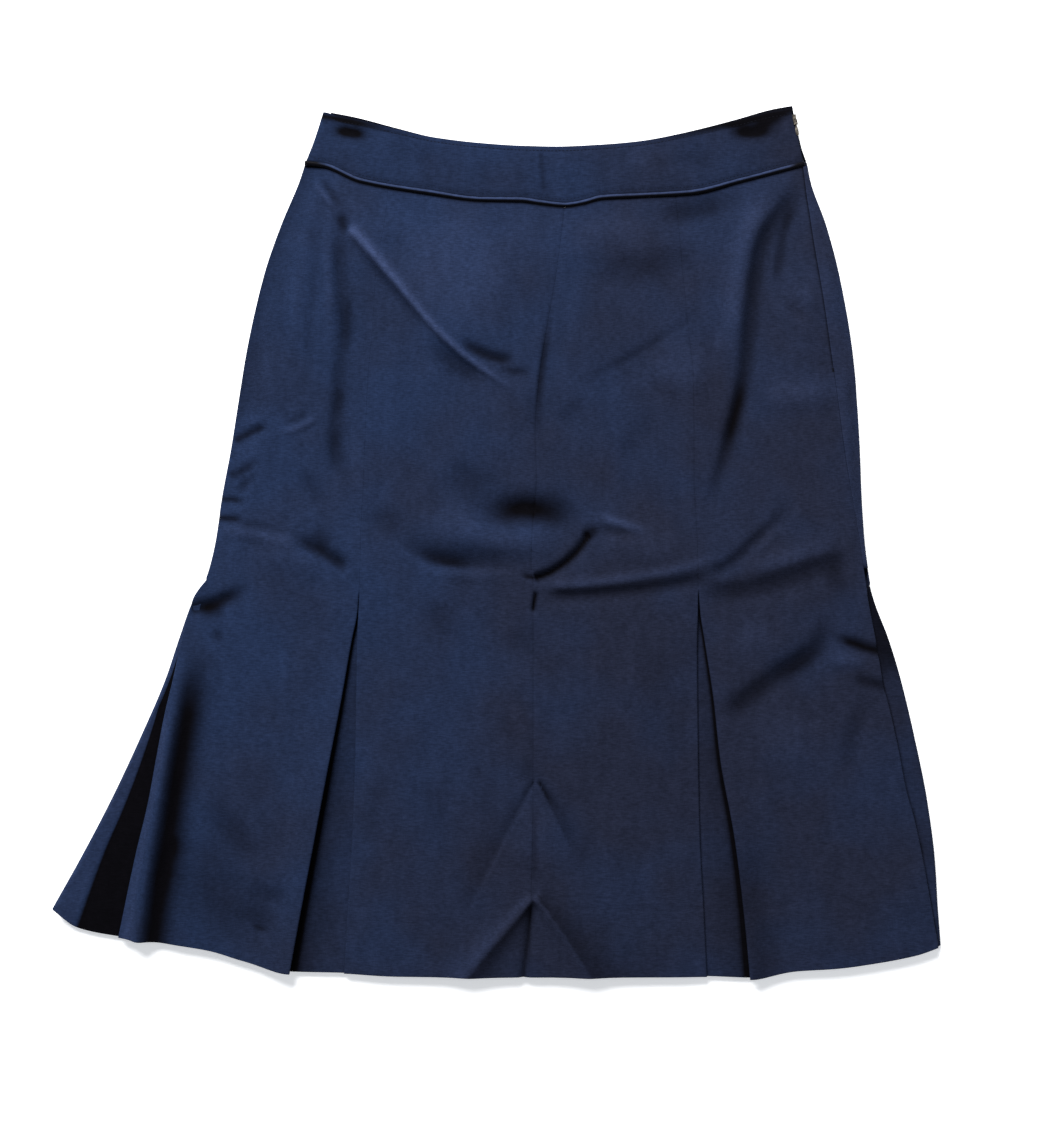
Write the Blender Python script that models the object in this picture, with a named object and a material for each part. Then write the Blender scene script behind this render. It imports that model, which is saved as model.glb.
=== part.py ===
# Flared, gored skirt with inverted pleats let into its seams, laid flat on a surface, face up.
# Sizes in the tables are millimetres. +X is right and +Y is towards the waist, seen from above,
# +Z is up. The origin is on the surface, under the middle of the skirt.
import math

import bpy
import numpy as np

MM = 0.001
CLOTH = 1.0              # wall of the wool suiting
BAND_CLOTH = 1.6         # the waistband is two layers sewn together
GAP = 0.3                # space kept at seams and between layers
PLEAT_TOP = -33.0        # the height on the front where the pleats spring from their seams
HIDDEN_AT_TOP = 5.0      # how far a pleat's folded-in cloth reaches under its panel, at its top
HIDDEN_AT_HEM = 30.0     # and at the hem
SIDE_TURN = 14.0         # how far the front wraps round to the underside at the left
LEAST_WRAP = 0.6         # least width of the back's wrap at the right, beside the zip
BAND_TURN = 4.0          # how far the front band wraps round at the left
FOLD_WIDTH = 1.5         # least distance between two folds of the side pleats
INSIDE_BEND = 0.8        # inside of a sharp fold, in cloth thicknesses from its edge

WAIST_LIFT = 3.0         # underside of the front at the waist seam
FRONT_LIFT = 4.6         # underside of the front above the pleats, where it lies on the back
PLEAT_LIFT = 8.0         # underside of the front over the folded layers of the pleats
WAIST_SLOPE = 40.0       # distance over which the cloth rises from the waist seam
PLEAT_SLOPE_TOP = 50.0   # height at which it starts to rise over the pleats
LEFT_SLOPE = 26.0        # distance over which it rises from the left edge
RIGHT_SLOPE = 11.0       # and from the right edge

FAN_TOP = -82.0          # where the left side pleat starts to stand open as a fan
FAN_RISE = 6.0           # how far the fan's outer half stands up at the hem
CLOSED_RISE = 0.4        # and the closed right side pleat's
TIP_INSET = 0.5          # from the skirt's edge to the fold of a side underlay
TIP_BEND = 0.7           # inside of that fold, in cloth thicknesses
VALLEY_INSET = 2.0       # the fan's inner fold lies this far outside its table's line
BACK_INSET = 2.0         # the back's side folds lie this far inside the front's
BACK_HEM_INSET = 5.0     # and at the right hem this much more
CLOSED_LINES = (5.0, 8.0, 9.0)   # folds of the closed pleat, from the edge inwards

PIPING_ROOM = 1.8        # from the waist seam to the cloth above and below it
PIPING_RADIUS = 1.15
PIPING_SIDES = 8
PIPING_STEPS = 34
FRONT_PIPING = {"left": -144.5, "right": 232.0, "sunk": 0.6, "half_height": 1.15}
BACK_PIPING = {"left": -145.0, "right": 235.5, "middle": 0.65, "half_height": 0.65}

BAND_LIFT = 3.0
BAND_DIP = 2.6           # the front's top edge dips this far below the outline at the ends
CORNER_X = -130.0        # but not at the wrapped left corner,
CORNER_SLOPE = 12.0      # from which it comes down over this distance
BAND_TUCK = 0.6          # the back's top edge lies this far below it at the middle
BAND_PEEK = 2.2          # and comes up by this much at the ends, where the inside shows
BAND_ROWS = 5
BAND_COLUMNS = 40

NAVY = (0.020, 0.026, 0.055, 1.0)
DARK_NAVY = (0.014, 0.018, 0.040, 1.0)
TAPE = (0.010, 0.012, 0.024, 1.0)
NICKEL = (0.42, 0.39, 0.34, 1.0)

# One row for each level down the skirt: its height at the middle, how much of the waist's
# curve it follows, and how much of the hem's.
ROWS = {
    "level": (255.5, 236, 214, 192, 170, 148, 126, 104, 82, 62, 45, 31, 18, 5, -8, -21, PLEAT_TOP,
              -39, -50, -72, -98, -126, -154, -182, -206, -230, -254, -278, -304, -330),
    "waist": (1, .9, .78, .66, .54, .42, .31, .21, .12, .06, .02, 0, 0, 0, 0, 0, 0,
              0, 0, 0, 0, 0, 0, 0, 0, 0, 0, 0, 0, 0),
    "hem": (0, 0, 0, 0, 0, 0, 0, 0, 0, 0, 0, 0, 0, 0, 0, 0, 0,
            0, 0, .03, .07, .14, .24, .36, .47, .58, .69, .79, .9, 1),
}
FIRST_PLEAT_ROW = ROWS["level"].index(PLEAT_TOP)

WAIST_SEAM = {  # the line of the piping, left to right
    "x": (-147, -132, -104, -51, -13, 18, 33, 52, 65, 80, 108, 147, 185, 235),
    "y": (289.5, 287.5, 275.9, 266.8, 261.7, 261.2, 259.2, 257.3, 259.2, 263, 264.5, 266.8, 275.9, 289),
}
BACK_SEAM = {"low": 258.0, "rise": 31.0, "middle": 46.0, "half": 189.0,
             "joins_front": -118.0, "joined_over": 12.0}
BAND_TOP = {
    "x": (-132, -108, -77, -47, -13, 16, 44, 75, 108, 150, 181, 211, 224),
    "y": (328, 323.9, 316.3, 309.3, 304.8, 302.6, 301.8, 303.1, 306.1, 314.7, 322.2, 330, 332),
}
BAND_EDGES = {
    "y": (290, 302, 315, 332),
    "left": (-146, -141, -136.5, -131.5),
    "right": (236.2, 232, 228.9, 225.2),
    "zip": (233, 230.4, 227.8, 223.2),
}
HEM = {
    "x": (-338, -318, -289, -249, -218, -193, -157, -117, -74, 25, 158, 192, 227, 257, 287, 318, 338),
    "y": (-277, -293, -299, -304.5, -309.5, -317, -326, -327, -329, -329.5, -329.5, -330.6, -325,
          -323, -319, -313, -306),
}
OUTLINE = {  # the edge of the whole skirt as it lies
    "y": (289, 276, 242, 204, 147, 109, 71, 33, 2, -28, -43, -74, -104, -150, -195, -241, -277, -306),
    "left": (-146.6, -150.8, -165, -178, -191, -197.2, -203.2, -210.2, -214.2, -221.6, -231.6, -243,
             -253, -272.6, -293.5, -317.4, -337.4, -353),
    "right": (236.4, 238.8, 250.9, 260.9, 270.8, 274.5, 276.8, 278.2, 279.8, 283.4, 287.2, 298.9,
              307.9, 318.8, 327.8, 333.8, 336, 338.2),
}
SEAMS = {  # the front's seams above the pleats
    "y": (270, 248, 204, 164, 125, 84, 50, 5, -18, -33, -188, -330),
    "left": (-83, -85, -92, -94.5, -98, -100, -101.3, -103.4, -103.9, -104.1, -104.1, -104.1),
    "centre": (52.5, 50.5, 44.8, 38, 31.9, 29, 30, 26.5, 26, 27.5, 27.4, 24.3),
    "right": (135.5, 137.6, 141.4, 145.2, 149, 149.7, 149.8, 152, 152.5, 152.8, 152.8, 152.8),
}
BACK_EDGES = {  # the back's pleat folds lie a little outside the front's, so they don't show
    "seam_left": -96.0, "seam_right": 150.0, "centre": 28.0,
    "left_side": -150.0, "left_centre": -112.0, "right_centre": 160.0, "right_side": 198.0,
}
FOLDS = {  # edges of the pleat folds, from the pleats' tops to the hem
    "y": (-33, -53, -75, -119, -163, -226, -282, -330),
    "left_side": (-104.2, -105.8, -110.2, -117.8, -126.1, -138, -148.6, -157.4),
    "left_centre": (-104.2, -105.2, -106.3, -107.3, -108, -110.4, -113.8, -116.5),
    "right_centre": (152.9, 152.6, 152.1, 152.5, 153, 154.4, 157.3, 159.6),
    "right_side": (152.9, 154.2, 157.6, 164.2, 168.9, 180.1, 187, 191.5),
}
LEFT_EDGE = {  # the side front's left edge: the outline, then the sharp fold beside the fan
    "y": (-28, -43, -74, -105, -128, -160, -199, -234, -299),
    "x": (-221, -231, -239.5, -246, -251.4, -257.6, -265, -273.6, -287.3),
}
FAN_VALLEY = {
    "y": (-43, -97, -137, -170, -202, -234, -293),
    "x": (-231, -248, -259, -269.8, -282, -295.8, -317),
}
ZIP_SEAM = {  # the side front's right edge: the zip, the side seam, then the pleat's fold
    "y": (329, 321, 289, 256, 230, 184, 132, 56, 14, -4, -42, -81, -104, -129, -157, -188, -207,
          -236, -275, -306),
    "x": (222.7, 226.3, 232.4, 236.4, 240.2, 247.8, 255.4, 266, 273.4, 276, 281.5, 288.8, 292.6,
          298.7, 304.8, 310.8, 316.2, 322.5, 329.5, 335),
}
ZIP_TOP = 327.0          # height of the tape's upper end
ZIP_END = 130.0          # height of the bar tack that closes the zip
ZIP_TAPE_WIDE = 6.0
ZIP_TAPE_THICK = 0.8
ZIP_TAPE_LIFT = 1.9
ZIP_TAPE_INSET = 2.0     # the tape's outer edge stays this far inside the skirt's
ZIP_CLEAR = 4.0          # how far below the tape's end the cloth is still fully lifted over it
ZIP_EASE = 16.0          # and the distance over which it comes down from there
ZIP_SPREAD = 60.0        # the lift over the tape fades out over this distance to its left

# Ridges and hollows of the front: the piece ("front" is all of it), three points x, y along the
# line, half width, height.
CREASES = {
    "drag line": ("front", -128, 268, -66, 187, 23, 112, 9, 3.2),
    "under the drag line": ("front", -62, 168, -40, 148, -12, 128, 9, -1.4),
    "left hollow": ("front", -116, 250, -117, 155, -123, 48, 10, -1.8),
    "left swell": ("front", -150, 230, -160, 150, -160, 90, 22, 1.2),
    "right swell": ("front", 190, 262, 172, 190, 160, 110, 16, 1.8),
    "right hollow": ("front", 204, 236, 188, 140, 157, 12, 12, -2.0),
    "right hip swell": ("front", 222, 230, 226, 150, 214, 80, 16, 1.0),
    "middle hollow": ("front", -4, 27, 25, 27, 54, 26, 11, -2.0),
    "middle swell": ("front", -66, 17, -32, 6, 8, 0, 12, 2.2),
    "swell over the break": ("front", 70, 20, 110, 14, 140, 18, 12, 1.8),
    "left break": ("front", -72, -9, -37, -13, 1, -18, 9, -1.6),
    "short crease": ("front", 31, -24, 57, -10, 73, 11, 7, -2.0),
    "long crease": ("front", 38, -37, 104, -32, 172, -17, 9, -2.2),
    "upper branch": ("front", 172, -18, 202, 8, 220, 24, 8, -1.6),
    "lower branch": ("front", 176, -30, 214, -20, 262, -6, 8, -1.6),
    "side crease": ("front", -209, 10, -160, 5, -111, -18, 8, -1.8),
    "side ridge": ("front", -208, 22, -165, 18, -128, 8, 9, 1.4),
    "lower right crease": ("front", 176, -128, 219, -90, 248, -58, 12, -1.3),
    "left pleat edge": ("front_side_left", -110, -70, -130, -190, -157, -330, 16, 3.5),
    "right pleat edge": ("front_side_right", 156, -60, 169, -170, 191, -330, 14, 2.5),
    "fan edge": ("front_side_left", -238, -62, -262, -165, -290, -305, 14, 5.5),
    "beside the fan edge": ("front_side_left", -238, -120, -246, -210, -254, -306, 14, -1.3),
    "hem fold, upper left": ("front", 26, -186, 2, -226, -22, -296, 12, 2.4),
    "hem fold, upper right": ("front", 30, -186, 50, -224, 72, -272, 12, 2.4),
    "hem fold, lower left": ("front", 22, -276, 4, -298, -16, -326, 9, 2.0),
    "hem fold, lower right": ("front", 30, -274, 50, -300, 70, -326, 9, 2.0),
    "centre hem hollow": ("front", 26, -215, 25, -245, 25, -268, 9, -1.2),
}

SLIDER_PLACE = (226.2, 323.0)    # middle of the zip's slider, on the band's end
SLIDER_TURN = math.radians(10.9)  # the zip's slope there
SLIDER = {"long": 5.6, "wide": 2.8, "high": 1.0}
PIN = {"radius": 0.45, "long": 2.4, "ahead": 4.4}     # ahead of the slider's middle, towards the hem
EYE = {"bore": 0.8, "radius": 1.25, "long": 1.2}      # the tab's eye runs on the pin
LUG = {"long": 3.6, "high": 2.1, "past_pin": 0.8, "low": 0.1}
TAB = {"long": 9.0, "wide": 2.2, "thick": 0.8, "neck": 1.2, "neck_long": 2.4, "full_from": 3.8,
       "corner": 0.7}


def layer(number):
    """Height of the underside of a cloth layer, where layers lie on each other."""
    return number * (CLOTH + GAP)


def smooth(at, xs, ys):
    """A smooth curve through a table's points that never overshoots them."""
    xs = np.asarray(xs, float)
    ys = np.asarray(ys, float)
    if xs[0] > xs[-1]:
        xs, ys = xs[::-1], ys[::-1]
    step = np.diff(xs)
    slope = np.diff(ys) / step
    tangent = np.concatenate([slope[:1], np.zeros(len(xs) - 2), slope[-1:]])
    product = slope[:-1] * slope[1:]
    total = np.where(product > 0, slope[:-1] + slope[1:], 1.0)
    tangent[1:-1] = np.where(product > 0, 2 * product / total, 0.0)
    at = np.clip(at, xs[0], xs[-1])
    i = np.clip(np.searchsorted(xs, at) - 1, 0, len(step) - 1)
    t = (at - xs[i]) / step[i]
    return (
        (1 + 2 * t) * (1 - t) ** 2 * ys[i] + t * (1 - t) ** 2 * step[i] * tangent[i]
        + t * t * (3 - 2 * t) * ys[i + 1] - t * t * (1 - t) * step[i] * tangent[i + 1]
    )


def ease(t):
    """0 below 0, 1 above 1, and a smooth step between."""
    t = np.clip(t, 0.0, 1.0)
    return t * t * (3 - 2 * t)


def read(table, column, y):
    return smooth(y, table["y"], table[column])


def seam_or_fold(seam, fold):
    """An edge that follows a seam above the pleats and a pleat's fold below."""
    def edge(y):
        return np.where(y > PLEAT_TOP, read(SEAMS, seam, y), read(FOLDS, fold, y))
    return edge


def left_edge(y):
    return np.where(y > LEFT_EDGE["y"][0], read(OUTLINE, "left", y), read(LEFT_EDGE, "x", y))


def outline_left(y):
    return read(OUTLINE, "left", y)


def outline_right(y):
    return read(OUTLINE, "right", y)


def zip_seam(y):
    return read(ZIP_SEAM, "x", y)


def down(y, top=PLEAT_TOP):
    """0 at a pleat's top and above it, 1 at the hem."""
    return np.clip((top - y) / (top - ROWS["level"][-1]), 0, 1)


def hidden(y):
    """How far a pleat's hidden cloth reaches in from its fold."""
    return HIDDEN_AT_TOP + (HIDDEN_AT_HEM - HIDDEN_AT_TOP) * down(y)


def towards_ends(x):
    """0 at the band's middle and 1 at its ends."""
    return ((x - BACK_SEAM["middle"]) / BACK_SEAM["half"]) ** 2


def front_seam(x):
    return smooth(x, WAIST_SEAM["x"], WAIST_SEAM["y"])


def back_seam(x):
    """The back's waist seam: an even curve that runs into the front's at the left side."""
    even = BACK_SEAM["low"] + BACK_SEAM["rise"] * towards_ends(x)
    joined = ease((BACK_SEAM["joins_front"] - x) / BACK_SEAM["joined_over"])
    return even + (front_seam(x) - even) * joined


def rows_from(seam):
    """The height of each row of the skirt where it crosses x (one x for each row)."""
    def rows(x):
        waist = seam(x) - PIPING_ROOM - ROWS["level"][0]
        hem = smooth(x, HEM["x"], HEM["y"]) - ROWS["level"][-1]
        return (np.array(ROWS["level"]) + np.array(ROWS["waist"]) * waist
                + np.array(ROWS["hem"]) * hem)
    return rows


skirt_rows = rows_from(front_seam)
back_rows = rows_from(back_seam)


def band_rows(x, top_rise, seam):
    """Heights of the waistband's rows, from its top edge down to the waist seam."""
    top = smooth(x, BAND_TOP["x"], BAND_TOP["y"]) + top_rise(x)
    return top + (seam(x) + PIPING_ROOM - top) * np.linspace(0, 1, len(x))


def laid(line, rows, count):
    """Where a line of the pattern, x as a function of y, crosses every row."""
    y = rows(np.zeros(count))
    for _ in range(8):
        x = line(y)
        y = rows(x)
    return line(y), y


def crease_height(x, y, piece):
    """Sum of the ridges and hollows at each point: height times exp(-(distance / width)^2)."""
    total = np.zeros_like(x)
    share = np.linspace(0, 1, 17)[:, None]
    for where, x0, y0, x1, y1, x2, y2, half_width, height in CREASES.values():
        if where not in ("front", piece):
            continue
        start, middle, end = (np.array(point, float) for point in ((x0, y0), (x1, y1), (x2, y2)))
        bend = 2 * middle - (start + end) / 2
        curve = (1 - share) ** 2 * start + 2 * share * (1 - share) * bend + share ** 2 * end
        near = np.full(x.shape, np.inf)
        for a, b in zip(curve[:-1], curve[1:]):
            run = b - a
            t = np.clip(((x - a[0]) * run[0] + (y - a[1]) * run[1]) / (run @ run), 0, 1)
            near = np.minimum(near, np.hypot(x - a[0] - t * run[0], y - a[1] - t * run[1]))
        total += height * np.exp(-(near / half_width) ** 2)
    return total


def front_height(x, y, piece="front"):
    """Underside of the front cloth: it lies on the back, and rises over the pleats' layers."""
    over_pleats = ease((PLEAT_SLOPE_TOP - y) / (PLEAT_SLOPE_TOP - PLEAT_TOP))
    lift = WAIST_LIFT + (FRONT_LIFT - WAIST_LIFT) * ease((front_seam(x) - y) / WAIST_SLOPE)
    lift = lift + (PLEAT_LIFT - lift) * over_pleats
    held = ease((x - left_edge(y)) / LEFT_SLOPE) * ease((outline_right(y) - x) / RIGHT_SLOPE)
    held = held + (1 - held) * over_pleats
    over_zip = ZIP_TAPE_LIFT + ZIP_TAPE_THICK + GAP
    near_zip = ease((y - ZIP_END + ZIP_CLEAR + ZIP_EASE) / ZIP_EASE)
    beside_zip = near_zip * ease((x - SEAMS["right"][0]) / ZIP_SPREAD)
    edge = layer(1) + (over_zip - layer(1)) * beside_zip
    return edge + (lift - edge + crease_height(x, y, piece)) * held


def material(name, colour, roughness, metallic):
    made = bpy.data.materials.new(name)
    made.use_nodes = True
    shader = made.node_tree.nodes["Principled BSDF"]
    shader.inputs["Base Color"].default_value = colour
    shader.inputs["Roughness"].default_value = roughness
    shader.inputs["Metallic"].default_value = metallic
    made.diffuse_color = colour
    return made


def add_mesh(name, points, faces, look):
    mesh = bpy.data.meshes.new(name)
    mesh.from_pydata((np.asarray(points) * MM).tolist(), [], [list(map(int, f)) for f in faces])
    mesh.validate()
    mesh.materials.append(look)
    made = bpy.data.objects.new(name, mesh)
    bpy.context.scene.collection.objects.link(made)
    return made


def wall(name, over, under, kept, look):
    """A closed cloth wall between two grids of points; kept says which cells have cloth."""
    count_rows, count_columns = over.shape[:2]
    number = np.arange(count_rows * count_columns).reshape(count_rows, count_columns)
    a, b = number[:-1, :-1][kept], number[1:, :-1][kept]
    c, d = number[1:, 1:][kept], number[:-1, 1:][kept]
    skin = np.concatenate([np.stack([a, b, c], 1), np.stack([a, c, d], 1)])
    edges = np.concatenate([skin[:, [0, 1]], skin[:, [1, 2]], skin[:, [2, 0]]])
    whole = set(map(tuple, edges.tolist()))
    rim = np.array([edge for edge in whole if edge[::-1] not in whole])
    lower = number.size
    faces = np.concatenate([
        skin,
        skin[:, ::-1] + lower,
        np.stack([rim[:, 1], rim[:, 0], rim[:, 0] + lower], 1),
        np.stack([rim[:, 1], rim[:, 0] + lower, rim[:, 1] + lower], 1),
    ])
    points = np.concatenate([over.reshape(-1, 3), under.reshape(-1, 3)])
    used, faces = np.unique(faces, return_inverse=True)
    return add_mesh(name, points[used], faces.reshape(-1, 3), look)


def turned_cloth(edge, way, reach, lower, face_lower, rows, count, thick, steps):
    """Columns of the cloth that turns at an edge and lies under or over its own face.

    way is -1 at a left edge and 1 at a right edge; reach is how far the turned cloth goes in,
    and lower is the height of its lower side."""
    columns = []
    x, y = laid(edge, rows, count)
    middle = (face_lower(x, y) + thick + lower(x, y)) / 2
    inside = x - way * INSIDE_BEND * thick
    goes_over = lower(x, y) > face_lower(x, y)
    columns.append((np.where(goes_over, inside, x), y, middle,
                    np.where(goes_over, x, inside), middle))
    for share in np.linspace(0, 1, steps + 1):
        def line(at, share=share):
            return edge(at) - way * (thick + share * reach(at))
        x, y = laid(line, rows, count)
        z = lower(x, y)
        columns.append((x, y, z, x, z + thick))
    return columns


def panel(name, left, right, count_columns, face_lower, look, left_turn=None, right_turn=None,
          rows=skirt_rows, count=len(ROWS["level"]), thick=CLOTH):
    """A panel between two edges. A turn is a dictionary: reach and lower (functions), steps,
    and rows, which says for each strip between two rows whether the turned cloth is there."""
    kept_face = np.ones(count - 1, bool)
    inset = {}
    for side, turn in (("left", left_turn), ("right", right_turn)):
        there = np.zeros(count, bool)
        if turn:
            there[:-1] |= turn["rows"]
            there[1:] |= turn["rows"]
        inset[side] = np.where(there, thick, GAP / 2)

    columns = []
    for share in np.linspace(0, 1, count_columns):
        def line(y, share=share):
            low = left(y) + inset["left"]
            high = right(y) - inset["right"]
            return low + share * (high - low)
        x, y = laid(line, rows, count)
        z = face_lower(x, y)
        columns.append((x, y, z + thick, x, z))
    kept = [kept_face] * (count_columns - 1)
    if left_turn:
        turned = turned_cloth(left, -1, left_turn["reach"], left_turn["lower"], face_lower,
                              rows, count, thick, left_turn["steps"])
        columns = turned[::-1] + columns
        kept = [left_turn["rows"]] * len(turned) + kept
    if right_turn:
        turned = turned_cloth(right, 1, right_turn["reach"], right_turn["lower"], face_lower,
                              rows, count, thick, right_turn["steps"])
        columns = columns + turned
        kept = kept + [right_turn["rows"]] * len(turned)
    over = np.stack([np.stack([x, y, top], 1) for x, y, top, _, _ in columns], 1)
    under = np.stack([np.stack([x, y, low], 1) for _, y, _, x, low in columns], 1)
    return wall(name, over, under, np.stack(kept, 1), look)


def flat(height):
    return lambda x, y: np.full_like(x, height)


def strips(first, last):
    """Which strips between two rows lie between the first and the last row given."""
    number = np.arange(len(ROWS["level"]) - 1)
    return (number >= first) & (number < last)


def pleat_turn(number):
    """The return of a pleat: cloth folded in under the panel, on a layer of its own."""
    return {"reach": hidden, "lower": flat(layer(number)), "steps": 1,
            "rows": strips(FIRST_PLEAT_ROW, len(ROWS["level"]) - 1)}


def make_front(cloth):
    last = len(ROWS["level"]) - 1

    def height(piece):
        return lambda x, y: front_height(x, y, piece)

    def left_reach(y):
        return np.where(y > PLEAT_TOP + 1, SIDE_TURN, hidden(y))

    def left_lower(x, y):
        return np.where(y > PLEAT_TOP + 1, 0.0, layer(4))

    left_turn = {"reach": left_reach, "lower": left_lower, "steps": 1,
                 "rows": strips(0, FIRST_PLEAT_ROW - 1) | strips(FIRST_PLEAT_ROW, last)}

    panel("front_side_left", left_edge, seam_or_fold("left", "left_side"), 11,
          height("front_side_left"), cloth, left_turn, pleat_turn(4))
    panel("front_centre_left", seam_or_fold("left", "left_centre"),
          lambda y: read(SEAMS, "centre", y), 10, height("front_centre_left"), cloth, pleat_turn(4))
    panel("front_centre_right", lambda y: read(SEAMS, "centre", y),
          seam_or_fold("right", "right_centre"), 10, height("front_centre_right"), cloth,
          None, pleat_turn(4))
    panel("front_side_right", seam_or_fold("right", "right_side"), zip_seam, 11,
          height("front_side_right"), cloth, pleat_turn(4), pleat_turn(4))


def back_edge(seam, fold):
    """A straight back seam, then a pleat fold that runs out to its place at the hem."""
    def edge(y):
        return BACK_EDGES[seam] + (BACK_EDGES[fold] - BACK_EDGES[seam]) * down(y)
    return edge


def back_left_fold(y):
    return left_edge(y) + BACK_INSET


def back_right_fold(y):
    return outline_right(y) - BACK_INSET - BACK_HEM_INSET * down(y)


def make_back(cloth):
    last = len(ROWS["level"]) - 1

    def left_side(y):
        under_front = outline_left(y) + CLOTH + SIDE_TURN + GAP
        return np.where(y > PLEAT_TOP + 1, under_front, back_left_fold(y))

    def right_side(y):
        return np.where(y > PLEAT_TOP + 1, outline_right(y), back_right_fold(y))

    def wrap_reach(y):
        to_zip = outline_right(y) - CLOTH - zip_seam(y) - GAP
        return np.where(y > PLEAT_TOP + 1, np.maximum(to_zip, LEAST_WRAP), hidden(y))

    def wrap_lower(x, y):
        return np.where(y > PLEAT_TOP + 1, front_height(x, y), layer(1))

    right_turn = {"reach": wrap_reach, "lower": wrap_lower, "steps": 2,
                  "rows": strips(0, FIRST_PLEAT_ROW - 1) | strips(FIRST_PLEAT_ROW, last)}
    centre = back_edge("centre", "centre")
    panel("back_side_left", left_side, back_edge("seam_left", "left_side"), 5, flat(0.0), cloth,
          pleat_turn(1), pleat_turn(1), rows=back_rows)
    panel("back_centre_left", back_edge("seam_left", "left_centre"), centre, 6, flat(0.0), cloth,
          pleat_turn(1), rows=back_rows)
    panel("back_centre_right", centre, back_edge("seam_right", "right_centre"), 6, flat(0.0),
          cloth, None, pleat_turn(1), rows=back_rows)
    panel("back_side_right", back_edge("seam_right", "right_side"), right_side, 6, flat(0.0),
          cloth, pleat_turn(1), right_turn, rows=back_rows)


def underlay(name, side_fold, centre_fold, number, way, cloth):
    """A pleat underlay: a gore that bridges the pleat behind the two folds. way is 1 where the
    side panel is on its right."""
    count = len(ROWS["level"])
    left, right = (centre_fold, side_fold) if way > 0 else (side_fold, centre_fold)
    columns = []
    for share in np.linspace(0, 1, 4):
        def line(y, share=share):
            low, high = left(y) - hidden(y), right(y) + hidden(y)
            return low + share * (high - low)
        x, y = laid(line, skirt_rows, count)
        columns.append((x, y))
    grid = np.stack([np.stack([x, y, np.full_like(x, layer(number))], 1) for x, y in columns], 1)
    grid = grid[FIRST_PLEAT_ROW:]
    over = grid + (0, 0, CLOTH)
    wall(name, over, grid, np.ones((len(grid) - 1, len(columns) - 1), bool), cloth)


def side_underlay(name, outer, valley, front_fold, back_fold, way, fan, cloth):
    """The underlay of a side pleat, folded in half at the skirt's outer edge. Its upper half
    stands up as a fan by the height given at the hem, and its lower half follows it."""
    count = len(ROWS["level"])

    def rise(share_out, y):
        return fan * down(y, FAN_TOP) * share_out

    def tip(y):
        return outer(y) - way * TIP_INSET

    def crest(y):
        return tip(y) - way * (CLOTH + 1)

    def inward(line, limit):
        """The line, kept at least a fold's width inside its neighbour."""
        return lambda y: way * np.minimum(way * line(y), way * limit(y) - FOLD_WIDTH)

    valley = inward(valley, crest)
    front_fold = inward(front_fold, valley)
    back_fold = inward(back_fold, valley)
    lines = (  # from the hidden end of the upper half, round the tip, to the end of the lower half
        (lambda y: front_fold(y) - way * hidden(y), 0, layer(3) + CLOTH, layer(3)),
        (front_fold, 0, layer(3) + CLOTH, layer(3)),
        (valley, 0, layer(3) + CLOTH, layer(3)),
        (crest, 1, layer(3) + CLOTH, layer(3)),
        (tip, 1, layer(3), layer(3) - GAP / 2),
        (crest, 1, layer(2), layer(2) + CLOTH),
        (valley, 0, layer(2), layer(2) + CLOTH),
        (back_fold, 0, layer(2), layer(2) + CLOTH),
        (lambda y: back_fold(y) - way * hidden(y), 0, layer(2), layer(2) + CLOTH),
    )
    over, under = [], []
    for line, share_out, top, low in lines:
        x, y = laid(line, skirt_rows, count)
        lifted = rise(share_out, y)
        inner_x = x - way * TIP_BEND * CLOTH if line is tip else x
        over.append(np.stack([x, y, lifted + top], 1))
        under.append(np.stack([inner_x, y, lifted + low], 1))
    if way < 0:
        over, under = over[::-1], under[::-1]
    over, under = np.stack(over, 1), np.stack(under, 1)
    over, under = over[FIRST_PLEAT_ROW:], under[FIRST_PLEAT_ROW:]
    wall(name, over, under, np.ones((len(over) - 1, len(lines) - 1), bool), cloth)


def make_underlays(cloth):
    def fold(column):
        return lambda y: read(FOLDS, column, y)

    underlay("front_pleat_underlay_left", fold("left_side"), fold("left_centre"), 3, -1, cloth)
    underlay("front_pleat_underlay_right", fold("right_side"), fold("right_centre"), 3, 1, cloth)
    underlay("back_pleat_underlay_left", back_edge("seam_left", "left_side"),
             back_edge("seam_left", "left_centre"), 2, -1, cloth)
    underlay("back_pleat_underlay_right", back_edge("seam_right", "right_side"),
             back_edge("seam_right", "right_centre"), 2, 1, cloth)
    closed_valley, closed_front, closed_back = CLOSED_LINES
    side_underlay("side_pleat_underlay_left", outline_left,
                  lambda y: read(FAN_VALLEY, "x", y) - VALLEY_INSET,
                  lambda y: left_edge(y) + VALLEY_INSET / 2,
                  lambda y: back_left_fold(y) + VALLEY_INSET / 2, -1, FAN_RISE, cloth)
    side_underlay("side_pleat_underlay_right", outline_right,
                  lambda y: outline_right(y) - closed_valley,
                  lambda y: outline_right(y) - closed_front,
                  lambda y: outline_right(y) - closed_back, 1, CLOSED_RISE, cloth)


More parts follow.
